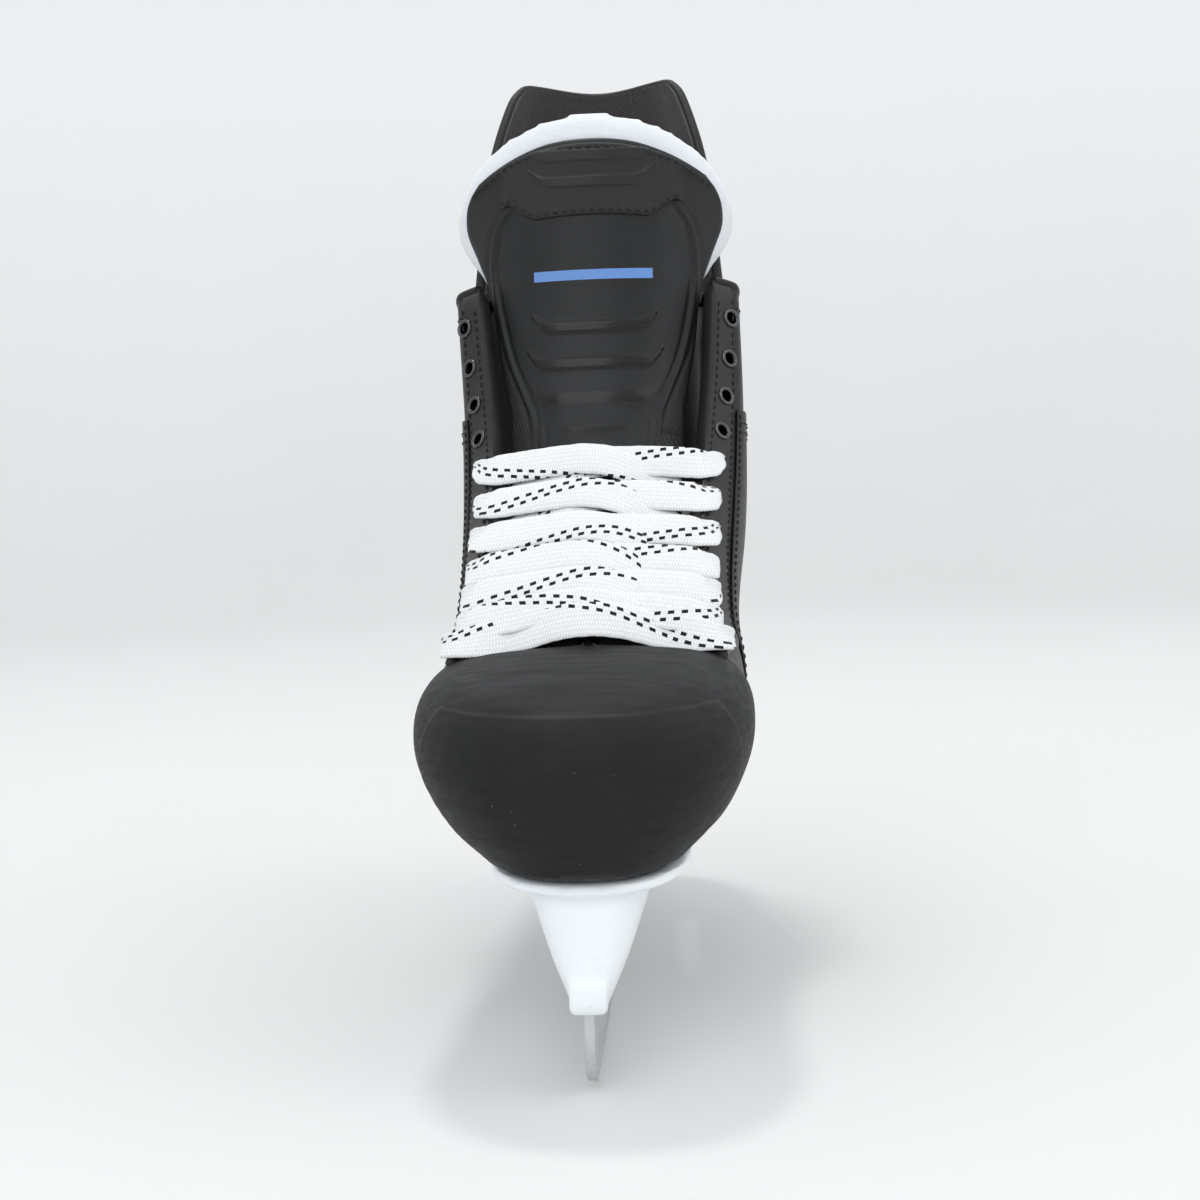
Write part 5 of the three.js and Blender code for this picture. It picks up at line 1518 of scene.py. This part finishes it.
def lace_crossing(side, i):
    name, other = ("lateral", "medial") if side < 0 else ("medial", "lateral")
    start, end = eyelet_places[name, i], eyelet_places[other, i + 1]
    rise = blend_in(start[0], end[0], 0.2)
    under, under_n = boot_surface(side, rise, 1), boot_normal(side, rise, 0.97)
    arrive = boot_surface(-side, blend_in(start[0], end[0], 0.93), 1)
    arrive_n = boot_normal(-side, end[0], 0.97)
    layer = 1 if side > 0 else 0
    first_x, last_x = under.x - side * 7, arrive.x + side * 3
    route = [(under - under_n * (lace_deep + 0.7), 5.5, rise)]
    for share in (0, 0.17, 0.34, 0.5, 0.66, 0.83, 1):
        v = blend_in(rise, end[0], 0.12 + 0.70 * share) + (0.020 if i else 0.030) * sin(pi * share)
        least = blend_in(-2.5, 5.0, ease(share, 0, 0.5)) if share < 0.5 else blend_in(5.0, 3.4, share * 2 - 1)
        route.append(over_tongue(v, blend_in(first_x, last_x, share), layer, least))
    route.append((arrive + arrive_n * lace_high, 11.0, end[0]))
    route.append((arrive.lerp(end[1], 0.5) + arrive_n * lace_high, 8.0, end[0]))
    return route + through_eyelet(end)


def tucked_end(side):
    name = "lateral" if side < 0 else "medial"
    v = eyelet_places[name, 6][0]
    route = [(boot_point(side, v - 0.01, 0.82, 11.5), 6.0, v)]
    return route + [(boot_point(side, v - i * 0.04, 0.82 - i * 0.08, 16.8), 10.0, v) for i in range(1, 7)]


def lace_half(side):
    lowest = eyelet_places["lateral" if side < 0 else "medial", 0]
    edge = boot_surface(side, lowest[0], 1) + lowest[2] * lace_high
    route = [over_tongue(0.331, side * 9, 0.6), over_tongue(0.329, side * 18, 1), over_tongue(0.323, side * 27, 1, 1.0),
             over_tongue(0.311, side * 33, 1, 2.5), (edge, 9.0, lowest[0])]
    route += through_eyelet(lowest)
    start = side
    for i in range(6):
        route += lace_crossing(start, i)
        start = -start
    return route + tucked_end(start)


def smooth_route(route, step=1.3):
    """Even steps along a smooth curve through a flat cord's stations."""
    fine = []
    for i in range(len(route) - 1):
        p0, p1, p2, p3 = (route[held(k, 0, len(route) - 1)] for k in (i - 1, i, i + 1, i + 2))
        count = max(2, int((p2[0] - p1[0]).length / step))
        for k in range(count):
            t = k / count
            d0, d1, d2 = (max((b[0] - a[0]).length, 0.01) ** 0.5 for a, b in ((p0, p1), (p1, p2), (p2, p3)))
            m1 = ((p1[0] - p0[0]) / d0 - (p2[0] - p0[0]) / (d0 + d1) + (p2[0] - p1[0]) / d1) * d1 if i else (p2[0] - p1[0])
            m2 = ((p2[0] - p1[0]) / d1 - (p3[0] - p1[0]) / (d1 + d2) + (p3[0] - p2[0]) / d2) * d1 if i < len(route) - 2 else (p2[0] - p1[0])
            p = p1[0] * (2 * t**3 - 3 * t**2 + 1) + p2[0] * (3 * t**2 - 2 * t**3) + m1 * (t**3 - 2 * t**2 + t) + m2 * (t**3 - t**2)
            s = ease(t, 0, 1)
            fine.append((p, blend_in(p1[1], p2[1], s), blend_in(p1[2], p2[2], t)))
    return fine + [route[-1]]


def flat_cord(route, thickness):
    """A soft flat cord through (point, width, v): it thickens and folds lengthwise where it is drawn in."""
    count = 28
    rings, spots, walked = [], [], 0.0
    for i, (p, width, v) in enumerate(route):
        before, after = route[max(i - 1, 0)][0], route[min(i + 1, len(route) - 1)][0]
        walked += (p - before).length if i else 0.0
        along = (after - before).normalized()
        _, _, ny, nz = front_frame(v)
        across = Vector((0, nz, -ny))
        across = (across - along * across.dot(along)).normalized()
        drawn = max(0, (13.0 - width) / 13.0)
        # Each row lies tilted on the one below it, like a shingle.
        lean = 0.3 * (1 - drawn)
        across = (across + Vector((0, ny, nz)) * lean).normalized()
        out = across.cross(along)
        thick = thickness * (1 + 1.1 * drawn)
        ring = []
        for k in range(count):
            angle = k / count * 2 * pi
            a = (1 if cos(angle) > 0 else -1) * abs(cos(angle)) ** 0.55
            b = (1 if sin(angle) > 0 else -1) * abs(sin(angle)) ** 0.7
            fray = 1 + 0.035 * noise.noise(Vector((walked * 0.35, 3.0 * a, 7.7)))
            ripple = 0.16 * noise.noise(Vector((walked * 0.12, a * 1.5, 2.2)))
            ring.append(tuple(p + across * (a * width / 2 * fray) + out * (b * thick / 2 + ripple - 0.9 * drawn * a * a)))
            spots.append((walked / 1000, a * 0.006, 1.0 if sin(angle) >= 0 else 0.0))
        rings.append(ring)
    return stacked(rings), spots, walked


def braided_lace():
    finish, tree, shader = blank_finish("braided_lace", 0.9)
    parts = put(tree, "SeparateXYZ", {"Vector": put(tree, "UVMap").outputs["UV"]})
    x, y = parts.outputs["X"], parts.outputs["Y"]
    # Herringbone: yarns slope one way and then the other in narrow wales.
    wale = maths(tree, "ABSOLUTE", maths(tree, "SUBTRACT", maths(tree, "FLOORED_MODULO", maths(tree, "MULTIPLY", y, 620.0), 2.0), 1.0))
    slope = maths(tree, "ADD", maths(tree, "MULTIPLY", x, 1050.0), maths(tree, "MULTIPLY", wale, 0.8))
    yarn = maths(tree, "ABSOLUTE", maths(tree, "SINE", maths(tree, "MULTIPLY", slope, pi)))
    ridge = maths(tree, "ABSOLUTE", maths(tree, "SUBTRACT", wale, 0.5))
    weave = maths(tree, "MULTIPLY", maths(tree, "POWER", yarn, 0.6), maths(tree, "ADD", 0.55, maths(tree, "MULTIPLY", ridge, 0.9)))
    # The tracers wander from edge to edge of the braid, a pair side by side, their dashes staggered.
    swing = maths(tree, "PINGPONG", maths(tree, "ADD", x, 0.012), 0.085)
    middle = maths(tree, "SUBTRACT", maths(tree, "MULTIPLY", swing, 0.20), 0.0085)
    dashes = None
    for offset, shift in ((-0.0012, 0.0), (0.0012, 0.0022)):
        off = maths(tree, "ABSOLUTE", maths(tree, "SUBTRACT", y, maths(tree, "ADD", middle, offset)))
        here = maths(tree, "LESS_THAN", maths(tree, "FLOORED_MODULO", maths(tree, "ADD", x, shift), 0.0044), 0.0021)
        dash = maths(tree, "MULTIPLY", maths(tree, "LESS_THAN", off, 0.00062), here)
        dashes = dash if dashes is None else maths(tree, "MAXIMUM", dashes, dash)
    fluff = cloudy(tree, where(tree), 1300.0, 5.0, 0.7)
    white = tint(tree, maths(tree, "ADD", maths(tree, "MULTIPLY", weave, 0.6), maths(tree, "MULTIPLY", fluff, 0.4)),
                 (0.15, (0.66, 0.67, 0.68)), (0.75, (0.88, 0.885, 0.89)))
    colour = put(tree, "Mix", {"Factor": dashes, "A": white, "B": (0.012, 0.012, 0.014, 1.0)}, data_type="RGBA")
    tree.links.new(colour.outputs["Result"], shader.inputs["Base Color"])
    tree.links.new(between(tree, fluff, 0.2, 0.8, 0.84, 0.98), shader.inputs["Roughness"])
    shader.inputs["Sheen Weight"].default_value = 0.3
    shader.inputs["Sheen Roughness"].default_value = 0.4
    shader.inputs["Specular IOR Level"].default_value = 0.2
    relief(tree, shader, maths(tree, "ADD", weave, maths(tree, "MULTIPLY", fluff, 0.6)), 0.00035, 0.6)
    return finish


def make_lace():
    route = lace_half(-1)[::-1] + [over_tongue(0.332, 0, 0.5)] + lace_half(1)
    fine = smooth_route(route)
    for _ in range(3):
        fine = [fine[0]] + [((a[0] + b[0] * 2 + c[0]) / 4, b[1], b[2]) for a, b, c in zip(fine, fine[1:], fine[2:])] + [fine[-1]]
    (points, faces), spots, length = flat_cord(fine, lace_thickness)
    mesh = mesh_of("flat_lace", points, faces, braided_lace(), 80)
    layer = mesh.uv_layers.new(name="flat")
    for loop in mesh.loops:
        layer.data[loop.index].uv = spots[loop.vertex_index][:2]
    link_piece("flat_lace", mesh, "boot", "lace_cotton", "lace")
    film = black_nylon("tip_film", 0.30, 0.25)
    for name, side in sides:
        (before, _, _), (end, _, _) = lace_half(side)[-2:]
        along = (end - before).normalized()
        tip = [(end + along * s, w, 0.6) for s, w in ((0.35, 4.0), (0.7, 4.4), (6, 4.2), (12, 4.0), (18, 3.8), (21.6, 3.6), (22.3, 3.0))]
        (points, faces), _, _ = flat_cord(tip, 0.9)
        link_piece(f"tip_{name}", mesh_of("tip", points, faces, film, 60), "boot", "aglet_film", f"lace_tip_{name}")


make_lace()
